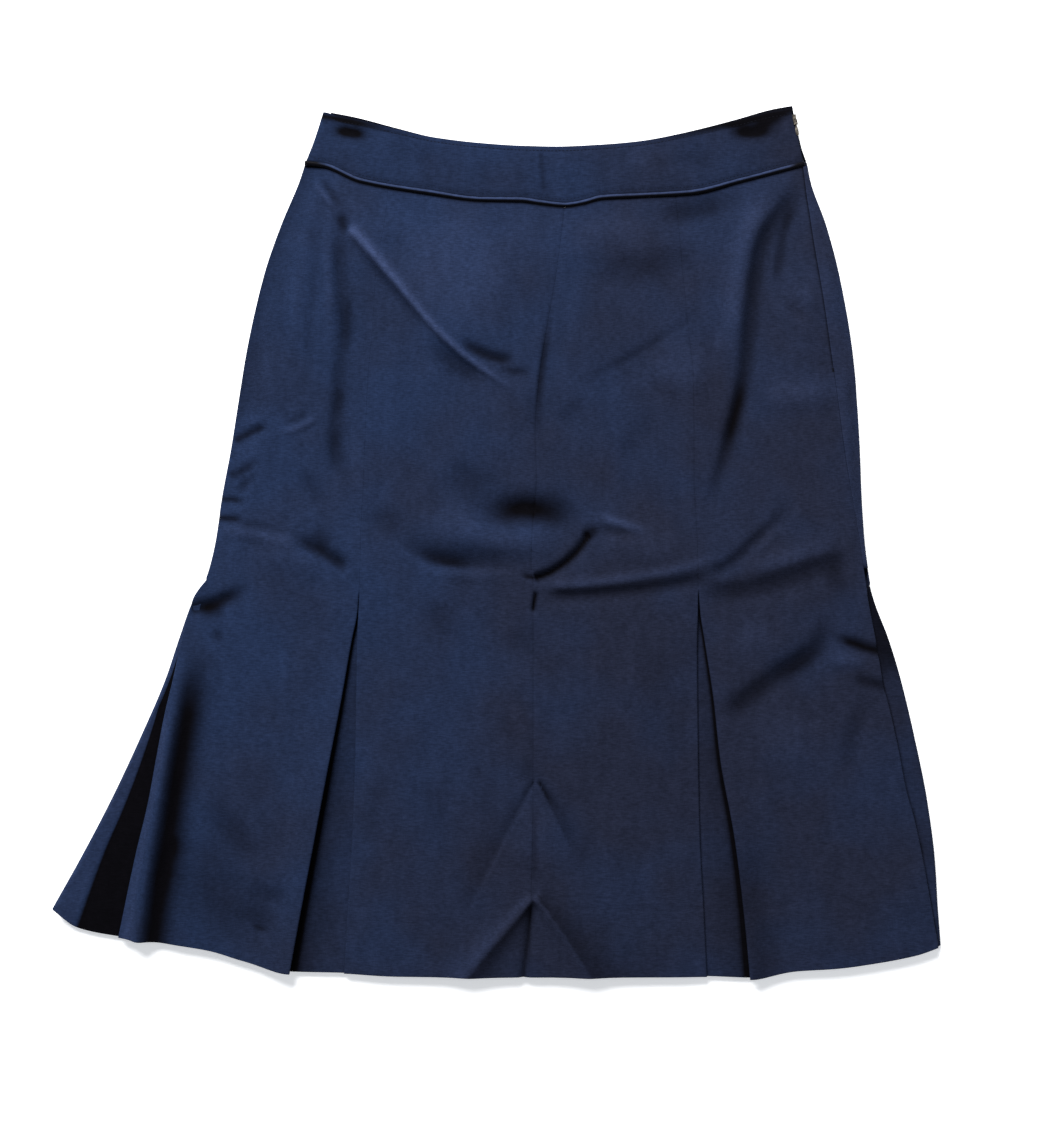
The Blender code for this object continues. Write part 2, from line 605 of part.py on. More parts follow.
def make_waistband(cloth):
    def front_dip(x):
        return -BAND_DIP * towards_ends(x) * ease((x - CORNER_X) / CORNER_SLOPE)

    def front_band_rows(x):
        return band_rows(x, front_dip, front_seam)

    def back_band_rows(x):
        return band_rows(x, lambda at: BAND_PEEK * towards_ends(at) - BAND_TUCK, back_seam)

    def line(column):
        return lambda y: read(BAND_EDGES, column, y)

    left_turn = {"reach": lambda y: np.full_like(y, BAND_TURN), "lower": flat(0.0), "steps": 1,
                 "rows": np.ones(BAND_ROWS - 1, bool)}
    panel("waistband_front", line("left"), line("zip"), BAND_COLUMNS, flat(BAND_LIFT), cloth,
          left_turn, rows=front_band_rows, count=BAND_ROWS, thick=BAND_CLOTH)
    panel("waistband_back", lambda y: read(BAND_EDGES, "left", y) + BAND_TURN + BAND_CLOTH + GAP,
          line("right"), BAND_COLUMNS, flat(0.0), cloth, rows=back_band_rows, count=BAND_ROWS,
          thick=BAND_CLOTH)


def make_piping(name, seam, left, right, middle, half_height, look):
    """A covered cord along the waist seam: a ring of corners carried along the seam's line."""
    sides = PIPING_SIDES
    x = np.linspace(left, right, PIPING_STEPS)
    y = seam(x)
    turn = (np.arange(sides) + 0.5) / sides * 2 * math.pi
    slope = np.gradient(y, x)
    across = np.stack([-slope, np.ones_like(slope)], 1) / np.hypot(slope, 1)[:, None]
    to_corner = 1 / math.cos(math.pi / sides)
    round_ = np.cos(turn) * PIPING_RADIUS * to_corner
    points = np.empty((len(x), sides, 3))
    points[:, :, 0] = x[:, None] + across[:, :1] * round_
    points[:, :, 1] = y[:, None] + across[:, 1:] * round_
    points[:, :, 2] = middle + half_height * np.sin(turn) * to_corner
    ring = np.arange(sides)
    faces = []
    for i in range(len(x) - 1):
        here, there = i * sides, (i + 1) * sides
        for k in ring:
            n = (k + 1) % sides
            faces.append((here + n, there + n, there + k, here + k))
    faces.append(tuple(ring[::-1]))
    faces.append(tuple((len(x) - 1) * sides + ring))
    return add_mesh(name, points.reshape(-1, 3), faces, look)


def make_zip_tape(look):
    y = np.linspace(ZIP_TOP, ZIP_END, 16)
    middle = zip_seam(y)
    outer = np.where(y > OUTLINE["y"][0], read(BAND_EDGES, "right", y), outline_right(y))
    right = np.minimum(middle + ZIP_TAPE_WIDE, outer - ZIP_TAPE_INSET)
    left = middle - ZIP_TAPE_WIDE
    low = np.full_like(y, ZIP_TAPE_LIFT)
    under = np.stack([np.stack([x, y, low], 1) for x in (left, middle, right)], 1)
    over = under + (0, 0, ZIP_TAPE_THICK)
    wall("zip_tape", over, under, np.ones((len(y) - 1, 2), bool), look)


def block(low, high):
    """Corners and faces of a box between two corners, in millimetres."""
    corners = [(x, y, z) for x in (low[0], high[0]) for y in (low[1], high[1])
               for z in (low[2], high[2])]
    faces = [(0, 1, 3, 2), (4, 6, 7, 5), (0, 4, 5, 1), (2, 3, 7, 6), (0, 2, 6, 4), (1, 5, 7, 3)]
    return corners, faces


def rod(radius, half_long, y, z, sides=12):
    """Corners and faces of a round bar along X."""
    turn = np.arange(sides) / sides * 2 * math.pi
    ring = np.stack([np.zeros(sides), y + radius * np.cos(turn), z + radius * np.sin(turn)], 1)
    corners = np.concatenate([ring - (half_long, 0, 0), ring + (half_long, 0, 0)])
    faces = [tuple(range(sides))[::-1], tuple(range(sides, 2 * sides))]
    for k in range(sides):
        n = (k + 1) % sides
        faces.append((k, n, sides + n, sides + k))
    return corners, faces


def join(target, shape, look, operation):
    """Boolean of a target with one more shape, which then leaves the scene."""
    tool = add_mesh("tool", *shape, look)
    tool.matrix_world = target.matrix_world
    change = target.modifiers.new(operation, "BOOLEAN")
    change.operation = operation
    change.object = tool
    bpy.context.view_layer.update()
    evaluated = target.evaluated_get(bpy.context.evaluated_depsgraph_get())
    mesh = bpy.data.meshes.new_from_object(evaluated)
    target.modifiers.clear()
    target.data = mesh
    bpy.data.objects.remove(tool)


def put_on_band(made, lift):
    made.location = (SLIDER_PLACE[0] * MM, SLIDER_PLACE[1] * MM, lift * MM)
    made.rotation_euler = (0, 0, SLIDER_TURN)


def make_slider(look):
    """Slider body on the band's end, with two lugs and the pin that the tab's eye runs on."""
    base = BAND_LIFT + BAND_CLOTH + GAP
    half_long, half_wide = SLIDER["long"] / 2, SLIDER["wide"] / 2
    corners, faces = block((-half_wide, -half_long, 0), (half_wide, half_long, SLIDER["high"]))
    slider = add_mesh("zip_slider", corners, faces, look)
    pin_y, pin_z = -PIN["ahead"], EYE["radius"]
    for way in (-1, 1):
        near, far = sorted((way * (EYE["long"] / 2 + GAP), way * half_wide))
        start = pin_y - LUG["past_pin"]
        lug = block((near, start, LUG["low"]), (far, start + LUG["long"], LUG["high"]))
        join(slider, lug, look, "UNION")
    join(slider, rod(PIN["radius"], PIN["long"] / 2, pin_y, pin_z), look, "UNION")
    put_on_band(slider, base)


def make_pull_tab(look):
    """The pull tab: an eye round the pin and a tongue that lies along the band's end."""
    base = BAND_LIFT + BAND_CLOTH + GAP
    eye_corners, eye_faces = rod(EYE["radius"], EYE["long"] / 2, 0, 0)
    tab = add_mesh("zip_pull_tab", eye_corners, eye_faces, look)
    low, high = -EYE["radius"], -EYE["radius"] + TAB["thick"]
    half, neck = TAB["wide"] / 2, TAB["neck"] / 2
    end, corner = -TAB["long"], TAB["corner"]
    right_side = [(half - corner, end), (half, end + corner), (half, -TAB["full_from"]),
                  (neck, -TAB["neck_long"]), (neck, 0)]
    outline = [(-x, y) for x, y in right_side[::-1]] + right_side
    count = len(outline)
    corners = [(x, y, low) for x, y in outline] + [(x, y, high) for x, y in outline]
    faces = [tuple(range(count))[::-1], tuple(range(count, 2 * count))]
    for k in range(count):
        n = (k + 1) % count
        faces.append((k, n, count + n, count + k))
    join(tab, (corners, faces), look, "UNION")
    join(tab, rod(EYE["bore"], EYE["long"], 0, 0), look, "DIFFERENCE")
    along = np.array((math.sin(SLIDER_TURN), -math.cos(SLIDER_TURN))) * PIN["ahead"]
    tab.location = ((SLIDER_PLACE[0] + along[0]) * MM, (SLIDER_PLACE[1] + along[1]) * MM,
                    (base + EYE["radius"]) * MM)
    tab.rotation_euler = (0, 0, SLIDER_TURN)


def main():
    for thing in list(bpy.data.objects):
        bpy.data.objects.remove(thing)
    cloth = material("navy_suiting", NAVY, 0.75, 0.0)
    inner = material("navy_suiting_inside", DARK_NAVY, 0.8, 0.0)
    tape = material("zip_tape", TAPE, 0.7, 0.0)
    metal = material("zip_metal", NICKEL, 0.35, 1.0)
    make_front(cloth)
    make_back(cloth)
    make_underlays(inner)
    make_waistband(cloth)
    front_middle = BAND_LIFT + BAND_CLOTH - FRONT_PIPING["sunk"]
    make_piping("piping_front", front_seam, FRONT_PIPING["left"], FRONT_PIPING["right"],
                front_middle, FRONT_PIPING["half_height"], cloth)
    make_piping("piping_back", back_seam, BACK_PIPING["left"], BACK_PIPING["right"],
                BACK_PIPING["middle"], BACK_PIPING["half_height"], cloth)
    make_zip_tape(tape)
    make_slider(metal)
    make_pull_tab(metal)


main()
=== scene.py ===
import math

import bpy
import numpy as np
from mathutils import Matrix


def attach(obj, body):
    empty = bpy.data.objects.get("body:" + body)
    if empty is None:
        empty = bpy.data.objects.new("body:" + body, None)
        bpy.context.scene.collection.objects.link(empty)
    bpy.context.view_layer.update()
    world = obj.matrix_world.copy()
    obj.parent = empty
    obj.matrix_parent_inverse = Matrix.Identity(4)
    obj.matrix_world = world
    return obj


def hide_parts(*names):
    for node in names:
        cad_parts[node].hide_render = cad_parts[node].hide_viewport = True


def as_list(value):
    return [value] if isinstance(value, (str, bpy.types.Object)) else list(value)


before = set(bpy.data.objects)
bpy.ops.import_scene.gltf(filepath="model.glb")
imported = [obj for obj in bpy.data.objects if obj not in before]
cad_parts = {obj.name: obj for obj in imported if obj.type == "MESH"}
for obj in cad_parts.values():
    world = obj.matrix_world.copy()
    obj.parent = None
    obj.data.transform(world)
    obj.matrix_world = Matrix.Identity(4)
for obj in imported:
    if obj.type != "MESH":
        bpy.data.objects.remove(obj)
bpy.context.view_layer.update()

# A flared, gored skirt in navy suiting, laid flat with its front up, seen from straight above.
# Sizes are millimetres. +X is right and +Y is towards the waist, +Z is up from the surface.
mm = 0.001
body = "skirt"

camera = {
    "middle": (22.4, -21.7),      # the point under the lens
    "height": 1200,
    "frameHeight": 868.7,         # what the long side of the picture takes in
    "focusLevel": 6,              # the level at which that is true
    "sensor": 36,
}


def makeCamera():
    data = bpy.data.cameras.new("camera")
    data.sensor_width = camera["sensor"]
    data.lens = camera["sensor"] * (camera["height"] - camera["focusLevel"]) / camera["frameHeight"]
    data.clip_start = 0.01
    made = bpy.data.objects.new("camera", data)
    made.location = (camera["middle"][0] * mm, camera["middle"][1] * mm, camera["height"] * mm)
    bpy.context.scene.collection.objects.link(made)
    bpy.context.scene.camera = made


makeCamera()
print("camera is set")

# The cut of the skirt, the same lines as the solids follow
cloth = {"thick": 1.0, "bandThick": 1.6, "gap": 0.3, "seam": 0.04, "bend": 0.75}
pleat = {"top": -33.0, "atTop": 5.0, "atHem": 30.0, "sideTurn": 14.0, "turnEnd": -21.0, "fanTop": -82.0}
lift = {"front": 6.2, "waist": 3.0, "overPleats": 8.0, "band": 3.0, "zipTape": 1.9, "tapeThick": 0.8}

rowTable = {   # a row's level, and its share of the waist's curve and of the hem's
    "level": (255.5, 236, 214, 192, 170, 148, 126, 104, 82, 62, 45, 31, 18, -33, -50, -72, -98, -126,
              -154, -182, -206, -230, -254, -278, -304, -330),
    "waist": (1, .9, .78, .66, .54, .42, .31, .21, .12, .06, .02, 0, 0, 0, 0, 0, 0, 0,
              0, 0, 0, 0, 0, 0, 0, 0),
    "hem": (0, 0, 0, 0, 0, 0, 0, 0, 0, 0, 0, 0, 0, 0, 0, .03, .07, .14, .24, .36, .47, .58, .69,
            .79, .9, 1),
}
waistSeam = {
    "x": (-147, -132, -104, -51, -13, 18, 33, 52, 65, 80, 108, 147, 185, 235),
    "y": (289.5, 287.5, 275.9, 266.8, 261.7, 261.2, 259.2, 257.3, 259.2, 263, 264.5, 266.8, 275.9, 289),
}
backSeam = {"low": 258.0, "rise": 31.0, "middle": 46.0, "half": 189.0, "joinsFront": -118.0,
            "joinedOver": 12.0}
bandTop = {
    "x": (-132, -108, -77, -47, -13, 16, 44, 75, 108, 150, 181, 211, 224),
    "y": (328, 323.9, 316.3, 309.3, 304.8, 302.6, 301.8, 303.1, 306.1, 314.7, 322.2, 330, 332),
}
hemLine = {
    "x": (-338, -318, -289, -249, -218, -193, -157, -117, -74, 25, 158, 192, 227, 257, 287, 318, 338),
    "y": (-277, -293, -299, -304.5, -309.5, -317, -326, -327, -329, -329.5, -329.5, -330.6, -325,
          -323, -319, -313, -306),
}
outline = {
    "y": (289, 276, 242, 204, 147, 109, 71, 33, 2, -28, -43, -74, -104, -150, -195, -241, -277, -306),
    "left": (-146.6, -150.8, -165, -178, -191, -197.2, -203.2, -210.2, -214.2, -221.6, -231.6, -243,
             -253, -272.6, -293.5, -317.4, -337.4, -353),
    "right": (236.4, 238.8, 250.9, 260.9, 270.8, 274.5, 276.8, 278.2, 279.8, 283.4, 287.2, 298.9,
              307.9, 318.8, 327.8, 333.8, 336, 338.2),
}
seams = {
    "y": (270, 248, 204, 164, 125, 84, 50, 5, -18, -33, -188, -330),
    "left": (-83, -85, -92, -94.5, -98, -100, -101.3, -103.4, -103.9, -104.1, -104.1, -104.1),
    "centre": (52.5, 50.5, 44.8, 38, 31.9, 29, 30, 26.5, 26, 27.5, 27.4, 24.3),
    "right": (135.5, 137.6, 141.4, 145.2, 149, 149.7, 149.8, 152, 152.5, 152.8, 152.8, 152.8),
}
folds = {
    "y": (-33, -53, -75, -119, -163, -226, -282, -330),
    "leftSide": (-104.2, -105.8, -110.2, -117.8, -126.1, -138, -148.6, -157.4),
    "leftCentre": (-104.2, -105.2, -106.3, -107.3, -108, -110.4, -113.8, -116.5),
    "rightCentre": (152.9, 152.6, 152.1, 152.5, 153, 154.4, 157.3, 159.6),
    "rightSide": (152.9, 154.2, 157.6, 164.2, 168.9, 180.1, 187, 191.5),
}
leftFold = {
    "y": (-28, -43, -74, -105, -128, -160, -199, -234, -299),
    "x": (-221, -231, -239.5, -246, -251.4, -257.6, -265, -273.6, -287.3),
}
fanValley = {
    "y": (-43, -97, -137, -170, -202, -234, -293),
    "x": (-231, -248, -259, -269.8, -282, -295.8, -317),
}
zipSeam = {
    "y": (329, 321, 289, 256, 230, 184, 132, 56, 14, -4, -42, -81, -104, -129, -157, -188, -207,
          -236, -275, -306),
    "x": (222.7, 226.3, 232.4, 236.4, 240.2, 247.8, 255.4, 266, 273.4, 276, 281.5, 288.8, 292.6,
          298.7, 304.8, 310.8, 316.2, 322.5, 329.5, 335),
}
bandEnds = {
    "y": (290, 302, 315, 332),
    "left": (-146, -141, -136.5, -131.5),
    "right": (236.2, 232, 228.9, 225.2),
    "zip": (233, 230.4, 227.8, 223.2),
}
backLines = {
    "seamLeft": -96.0, "seamRight": 150.0, "centre": 28.0, "centreFold": 28.0,
    "leftSide": -150.0, "leftCentre": -112.0, "rightCentre": 160.0, "rightSide": 198.0,
}
pipingRoom = 1.8     # between the waist seam and the cloth on either side of it
zipEnd = 130.0       # the height at which the zip's opening ends


def layer(number):
    return number * (cloth["thick"] + cloth["gap"])


def smooth(at, xs, ys):
    # a cubic through each pair of table points, its slopes the harmonic mean of its neighbours'
    xs, ys = np.asarray(xs, float), np.asarray(ys, float)
    if xs[0] > xs[-1]:
        xs, ys = xs[::-1], ys[::-1]
    step = np.diff(xs)
    slope = np.diff(ys) / step
    product = slope[:-1] * slope[1:]
    total = np.where(product > 0, slope[:-1] + slope[1:], 1.0)
    inner = np.where(product > 0, 2 * product / total, 0.0)
    tangent = np.concatenate([slope[:1], inner, slope[-1:]])
    at = np.clip(at, xs[0], xs[-1])
    i = np.clip(np.searchsorted(xs, at) - 1, 0, len(step) - 1)
    t = (at - xs[i]) / step[i]
    start = (1 + 2 * t) * (1 - t) ** 2 * ys[i] + t * (1 - t) ** 2 * step[i] * tangent[i]
    end = t * t * (3 - 2 * t) * ys[i + 1] - t * t * (1 - t) * step[i] * tangent[i + 1]
    return start + end


def ease(t):
    # 3t^2 - 2t^3 between 0 and 1
    t = np.clip(t, 0.0, 1.0)
    return t * t * (3 - 2 * t)


def read(table, column, y):
    return smooth(y, table["y"], table[column])


def lineOf(table, column="x"):
    return lambda y: read(table, column, y)


def seamOrFold(seam, fold):
    return lambda y: np.where(y > pleat["top"], read(seams, seam, y), read(folds, fold, y))


def leftEdge(y):
    return np.where(y > leftFold["y"][0], read(outline, "left", y), read(leftFold, "x", y))


outlineLeft, outlineRight = lineOf(outline, "left"), lineOf(outline, "right")
zipLine = lineOf(zipSeam)
hemLevel = rowTable["level"][-1]


def down(y):
    return np.clip((pleat["top"] - y) / (pleat["top"] - hemLevel), 0, 1)


def hidden(y):
    # how far a pleat's cloth goes in behind its fold
    return pleat["atTop"] + (pleat["atHem"] - pleat["atTop"]) * down(y)


def backEdge(seam, fold):
    return lambda y: backLines[seam] + (backLines[fold] - backLines[seam]) * down(y)


def frontWaist(x):
    return smooth(x, waistSeam["x"], waistSeam["y"])


def towardEnds(x):
    return ((x - backSeam["middle"]) / backSeam["half"]) ** 2


def backWaist(x):
    # low + rise * towardEnds, then into the front's seam at the left side
    even = backSeam["low"] + backSeam["rise"] * towardEnds(x)
    joined = ease((backSeam["joinsFront"] - x) / backSeam["joinedOver"])
    return even + (frontWaist(x) - even) * joined


def skirtRows(waist):
    # a row's height = its level + its share of the waist's curve + its share of the hem's
    def rows(level, x):
        levels, shares = rowTable["level"], rowTable["waist"]
        top = smooth(level, levels, shares) * (waist(x) - pipingRoom - levels[0])
        bottom = smooth(level, levels, rowTable["hem"]) * (smooth(x, hemLine["x"], hemLine["y"]) - hemLevel)
        return level + top + bottom
    return rows


def bandRows(waist, rise):
    # rows spread evenly from the band's top edge (share 0) to its seam (share 1)
    def rows(share, x):
        top = smooth(x, bandTop["x"], bandTop["y"]) + rise(x)
        return top + (waist(x) + pipingRoom - top) * share
    return rows


def place(line, rows, steps, count):
    # where lines of the cut, x as a function of y, cross the rows: found by going to and fro
    steps = np.repeat(np.asarray(steps, float)[:, None], count, 1)
    y = rows(steps, np.zeros_like(steps))
    for _ in range(8):
        y = rows(steps, line(y))
    return line(y), y


def spread(start, end, step, close=(0.3, 0.9), even=2):
    # even steps with two closer ones at either end
    way = 1 if end > start else -1
    inner = np.linspace(start + way * even, end - way * even, int(abs(end - start) / step))
    near = [start] + [start + way * c for c in close]
    far = [end - way * c for c in close[::-1]] + [end]
    return np.concatenate([near, inner, far])


# Creases of the front, each along a smooth line. The columns: x and y of its points in turn, its width
# to the left and to the right of the line as it is followed, its height, its tone of painted shade and light
# (-1 is the painted shade of a hollow and +1 the painted light of a ridge), and what isn't as in 'usual':
# fade is the share at each end over which it dies away, power 2 is a soft swell and 1 a sharp crest, taper is
# the width's share at the start and at the end, and piece is the only piece that has it
creases = {
    # the taut diagonal fold and what surrounds it
    "dragRidge": ((-113, 240, -101, 226, -89, 212.5, -73, 193.5, -59, 176.5, -43, 158.5, -26, 143,
        -9, 130.5, 8, 119.5, 24, 111.5), 2.7, 2.4, 2.0, 0.75, {"fade": (0.06, 0.35)}),
    "dragRidgeWide": ((-114, 242, -96, 221, -76, 197.5, -56, 174), 4.6, 4.4, 1.6, 0.6,
        {"fade": (0.1, 0.6)}),
    "dragSwell": ((-124, 262, -66, 187, 10, 121), 14, 12, 1.2, 0),
    "dragShade": ((-114, 231, -99, 214, -81, 193, -64, 172, -50, 156), 3, 3.4, -0.8, -0.3),
    "dragTop": ((-144, 280, -132, 265, -119, 250), 2.2, 2.2, 1.3, 0.36),
    "dragTopShade": ((-136, 279, -125, 264, -116, 251), 2.6, 3, -0.9, -0.46),
    "dragHollowBelow": ((-54, 157, -39, 141, -22, 129, -5, 121), 7, 7.5, -1.5, -0.5),
    "dragHollowAbove": ((-31, 156, -16, 146, 0, 140, 17, 137.5), 4.2, 3.6, -1.7, -0.75,
        {"fade": (0.35, 0.25)}),
    "dragDash": ((0, 134, 13, 130, 29, 128), 2.8, 2.8, -0.8, -0.5),
    "dragStart": ((-122, 251, -117.5, 243, -116, 230), 4, 3.6, -1.2, -0.72),
    "bellyLight": ((-72, 238, -42, 214, -12, 190, 14, 176), 30, 32, 2.2, 0.3),
    # the left hip
    "hipLineLeft": ((-118, 240, -119, 214, -117, 190, -115, 169, -116, 150, -119, 130, -120, 109,
        -123, 85, -122, 60, -119, 36), 6, 5, -1.6, -0.4, {"fade": (0.1, 0.2)}),
    "hipLineUpper": ((-116, 192, -115, 167, -117, 140), 5, 5, -0.6, -0.26),
    "hipLineMiddle": ((-119, 122, -120, 108, -121.5, 92), 4, 4, -0.5, -0.26),
    "hipLineLow": ((-124, 92, -123, 72, -121, 44), 5.5, 5, -0.6, -0.24),
    "hipGleam": ((-129, 252, -128, 214, -127, 180, -129, 138), 3.6, 3.6, 0.9, 0.16),
    "hipSwellLeft": ((-150, 232, -160, 150, -160, 90), 22, 22, 1.4, 0),
    "ripple1": ((-95, 220, -97, 180, -98, 128), 4.6, 4.6, -0.7, -0.14),
    "ripple2": ((-136, 252, -138, 200, -142, 150, -144, 108), 3.6, 3.6, -0.8, -0.13),
    "ripple3": ((-147, 240, -151, 190, -154, 138), 4, 4, 0.8, 0.08),
    "ripple4": ((-157, 238, -164, 184, -170, 128), 5, 5, -0.8, -0.16),
    "ripple5": ((-104, 96, -106, 60, -104, 22), 5, 5, 0.5, 0.08),
    "pinchLeft1": ((-202, 77, -192, 81.5, -182, 86, -172, 89), 3, 2.8, -1.6, -0.7, {"fade": (0.15, 0.3)}),
    "pinchLeft2": ((-204, 85, -190, 91, -177, 95), 3, 3, 0.9, 0.14),
    "pinchLeft3": ((-168, 82, -155, 86, -143, 91.5, -133, 98), 2.4, 2.4, 1.2, 0.3),
    "pinchLeft4": ((-163, 89, -151, 93, -140, 99), 2.8, 2.8, -0.7, -0.28),
    "pinchLeft5": ((-206, 51, -197, 53.5, -188, 58, -180, 66), 3.2, 3, -1.4, -0.6, {"fade": (0.15, 0.4)}),
    "pinchLeft6": ((-199, 37, -191, 45, -183, 55), 3.4, 3.4, -1.1, -0.42),
    "pinchLeft7": ((-212, 34, -202, 33, -189, 31), 2.4, 2.4, -1.3, -0.75, {"fade": (0.05, 0.4)}),
    "pinchLeft8": ((-215, 19, -203, 18.5, -191, 18), 2.2, 2.2, -1.2, -0.85, {"fade": (0.05, 0.4)}),
    "pinchLeft9": ((-151, 57, -143, 46, -136, 33, -133, 24), 5, 5, -0.9, -0.3),
    "sideShade": ((-208, 14.5, -182, 12, -160, 8), 3, 3, -0.6, -0.25),
    "sideLight": ((-213, 10.5, -190, 7, -170, 3, -150, -2, -136, -8), 3.6, 4.4, 1.1, 0.16,
        {"fade": (0.1, 0.4)}),
    "sideDark": ((-160, 4, -145, -2, -133, -7.5, -121, -15, -111, -25), 5.4, 4, -2.4, -0.75,
        {"fade": (0.3, 0.25)}),
    "sideDarkUpper": ((-142, 12, -133, 3, -125, -6), 5.5, 5, -0.8, -0.4),
    "sideUnder": ((-190, -4, -155, -11, -125, -24), 9, 9, 1.2, 0.1),
    # the middle
    "middleSeamDark": ((44, 206, 38.5, 162, 34.5, 135, 32, 110, 30, 66), 3, 2.2, -0.8, -0.7,
        {"fade": (0.5, 0.4)}),
    "middleSeamShade": ((30, 120, 27, 100, 26, 76), 6, 5, -0.5, -0.2),
    "middleHollow": ((-22, 24, 2, 23, 22, 24, 44, 22, 68, 14), 11, 10, -2.9, -0.85,
        {"fade": (0.35, 0.3)}),
    "middleCore": ((0, 26, 22, 28, 46, 25), 7, 6, -0.4, -0.3, {"fade": (0.5, 0.5)}),
    "softHollow": ((-44, 56, -28, 49, -12, 41, 2, 32), 12, 13, -1.3, -0.32),
    "middleSwell": ((-62, 17, -32, 10, 0, 3, 26, 0, 54, -2), 10, 11, 3.0, 0.16),
    "leftBreak": ((-84, 18, -70, -1, -50, -12.5, -33, -16, -12, -17, 8, -18, 26, -20), 9.5, 4.4, -2.5,
        -0.56, {"fade": (0.45, 0.55)}),
    "leftBreakCore": ((-66, -3, -50, -11, -30, -15, -12, -16), 5, 3.4, -0.5, -0.32),
    "leftBreakHalo": ((-94, 28, -82, 15, -68, 6), 10, 9, -0.6, -0.25),
    "breakEdge": ((-70, -20.5, -40, -22.5, -10, -23.5, 20, -26.5), 3, 5, 0.7, 0.08, {"fade": (0.5, 0.4)}),
    "shortCrease": ((28, -27, 40, -22.5, 51.5, -15, 62, -5, 71, 8), 2.6, 3.2, -3.0, -1.1,
        {"fade": (0.03, 0.06)}),
    "shortTip": ((63, 4, 71, 8, 81, 10), 4, 4, -1.0, -0.8),
    "shortTail": ((74, 11.5, 88, 8, 106, 4), 3.2, 3.2, -0.8, -0.4),
    "shortDash": ((18, -24.5, 25, -26, 33, -27), 1.8, 1.8, -0.7, -0.9),
    "shortCreaseRidge": ((70, 20.5, 86, 16.5, 102, 12, 118, 6), 3, 3.4, 1.5, 0.36),
    "swellOverBreak": ((58, 6, 92, -1, 124, -4, 152, -4), 12, 12, 1.6, 0.08),
    "longCreaseTop": ((34, -33.5, 60, -32, 90, -29, 122, -24, 150, -17.5, 174, -8), 3.4, 3, 1.1, 0.2,
        {"fade": (0.12, 0.3)}),
    "longCrease": ((33, -40, 60, -39.8, 90, -37.5, 122, -33.5, 150, -28, 170, -21), 3.4, 5.4, -1.8, -0.56,
        {"fade": (0.14, 0.25)}),
    "branchUpper": ((160, -25, 176, -16.5, 190, -4.5, 204, 8, 217, 22, 228, 36), 4, 4.4, -1.8, -0.5,
        {"fade": (0.12, 0.5)}),
    "branchUpperLight": ((188, -12, 203, 1, 217, 15), 3.4, 3.4, 0.9, 0.18),
    "branchLower": ((146, -32, 170, -37.5, 196, -35, 220, -28.5, 244, -20, 272, -10), 6.4, 8, -2.0, -0.5,
        {"fade": (0.25, 0.12)}),
    "branchLight": ((182, -23, 206, -18, 232, -10, 264, 0), 7, 5, 1.2, 0.18),
    "underBranch": ((246, -20, 260, -29, 272, -38), 8, 8, -0.6, -0.32),
    "slit": ((30, -36, 28.6, -44, 27, -54), 1.6, 1.6, -1.8, -1.0, {"fade": (0.2, 0.2)}),
    "lowerMiddle1": ((-54, -42, -43, -60, -30, -86), 9, 8, -0.8, -0.2),
    "lowerMiddle2": ((4, -68, 20, -77, 36, -84), 10, 10, -0.6, -0.16),
    "lowerMiddle3": ((-52, -176, -48, -206, -40, -236), 9, 9, -0.6, -0.14),
    "lowerMiddle4": ((-86, -170, -92, -206, -96, -240), 5, 6, -0.5, -0.16),
    "lowerMiddle5": ((118, -60, 126, -120, 134, -190), 10, 12, -0.5, -0.12),
    # the right hip
    "underBandRight": ((112, 252, 138, 251, 164, 256, 190, 268), 9, 8, -1.1, -0.56),
    "patchRight": ((56, 203, 92, 206, 126, 210, 160, 224), 10, 12, -1.3, -0.3),
    "patchLight": ((56, 230, 86, 237, 116, 232), 9, 9, 0.8, 0.12),
    "longDiagonal": ((60, 117, 80, 129, 100, 140, 121, 152, 142, 167, 162, 186), 2.8, 2.8, -0.6, -0.17),
    "longDiagonalSoft": ((60, 112, 100, 134, 142, 160), 9, 9, -0.8, -0.1),
    "rightBelly": ((112, 142, 138, 131, 168, 122), 16, 15, 1.4, 0.18),
    "midDiagonal": ((46, 86, 58, 99, 72, 112), 7, 7, -0.8, -0.22),
    "lowDiagonal": ((92, 58, 108, 80, 124, 104), 8, 8, -0.7, -0.14),
    "hipRidgeRight": ((208, 264, 196, 242, 187, 216, 182, 186, 177, 154, 170, 118), 8, 9, 2.2, 0.28,
        {"fade": (0.2, 0.35)}),
    "hipHollowRight": ((234, 276, 222, 258, 208, 240, 200, 220, 195.5, 195, 192.5, 168, 190, 142,
        186, 116, 180.5, 94, 175, 72, 169, 50, 161, 28, 153, 6), 8, 6.4, -2.5, -0.62, {"fade": (0.1, 0.3),
        "taper": (1, 0.6)}),
    "hipHollowCore": ((189, 136, 184, 110, 178, 87, 172, 62), 5, 4.4, -0.7, -0.4),
    "hipFork": ((228, 256, 219, 237, 214.5, 214, 212.5, 190), 3.4, 3.4, -1.1, -0.5, {"fade": (0.2, 0.3)}),
    "hipSpot": ((227, 198, 233, 187, 242, 177), 4.6, 4.6, 0.6, 0.14),
    "hipSpotShade": ((221, 187, 226, 176, 236, 170), 3, 3, -0.6, -0.24),
    "hipSwellRight": ((226, 230, 232, 160, 222, 80), 15, 15, 1.2, 0.06),
    "hipLightRight": ((196, 114, 230, 111, 270, 118), 9, 9, 1.4, 0.2),
    # the lower right panel
    "lowerRight": ((171, -138, 185, -123, 200, -111, 215, -100, 230, -91, 242, -81, 248, -68, 254, -52),
        7, 7.5, -2.4, -0.6, {"fade": (0.15, 0.3)}),
    "lowerRightSoft": ((206, -104, 228, -92, 242, -76), 12, 12, -0.6, -0.24),
    "rightNick": ((252, -71, 268, -75.5, 281, -80, 296, -84), 4, 3.6, -1.3, -1.0, {"fade": (0.35, 0.0)}),
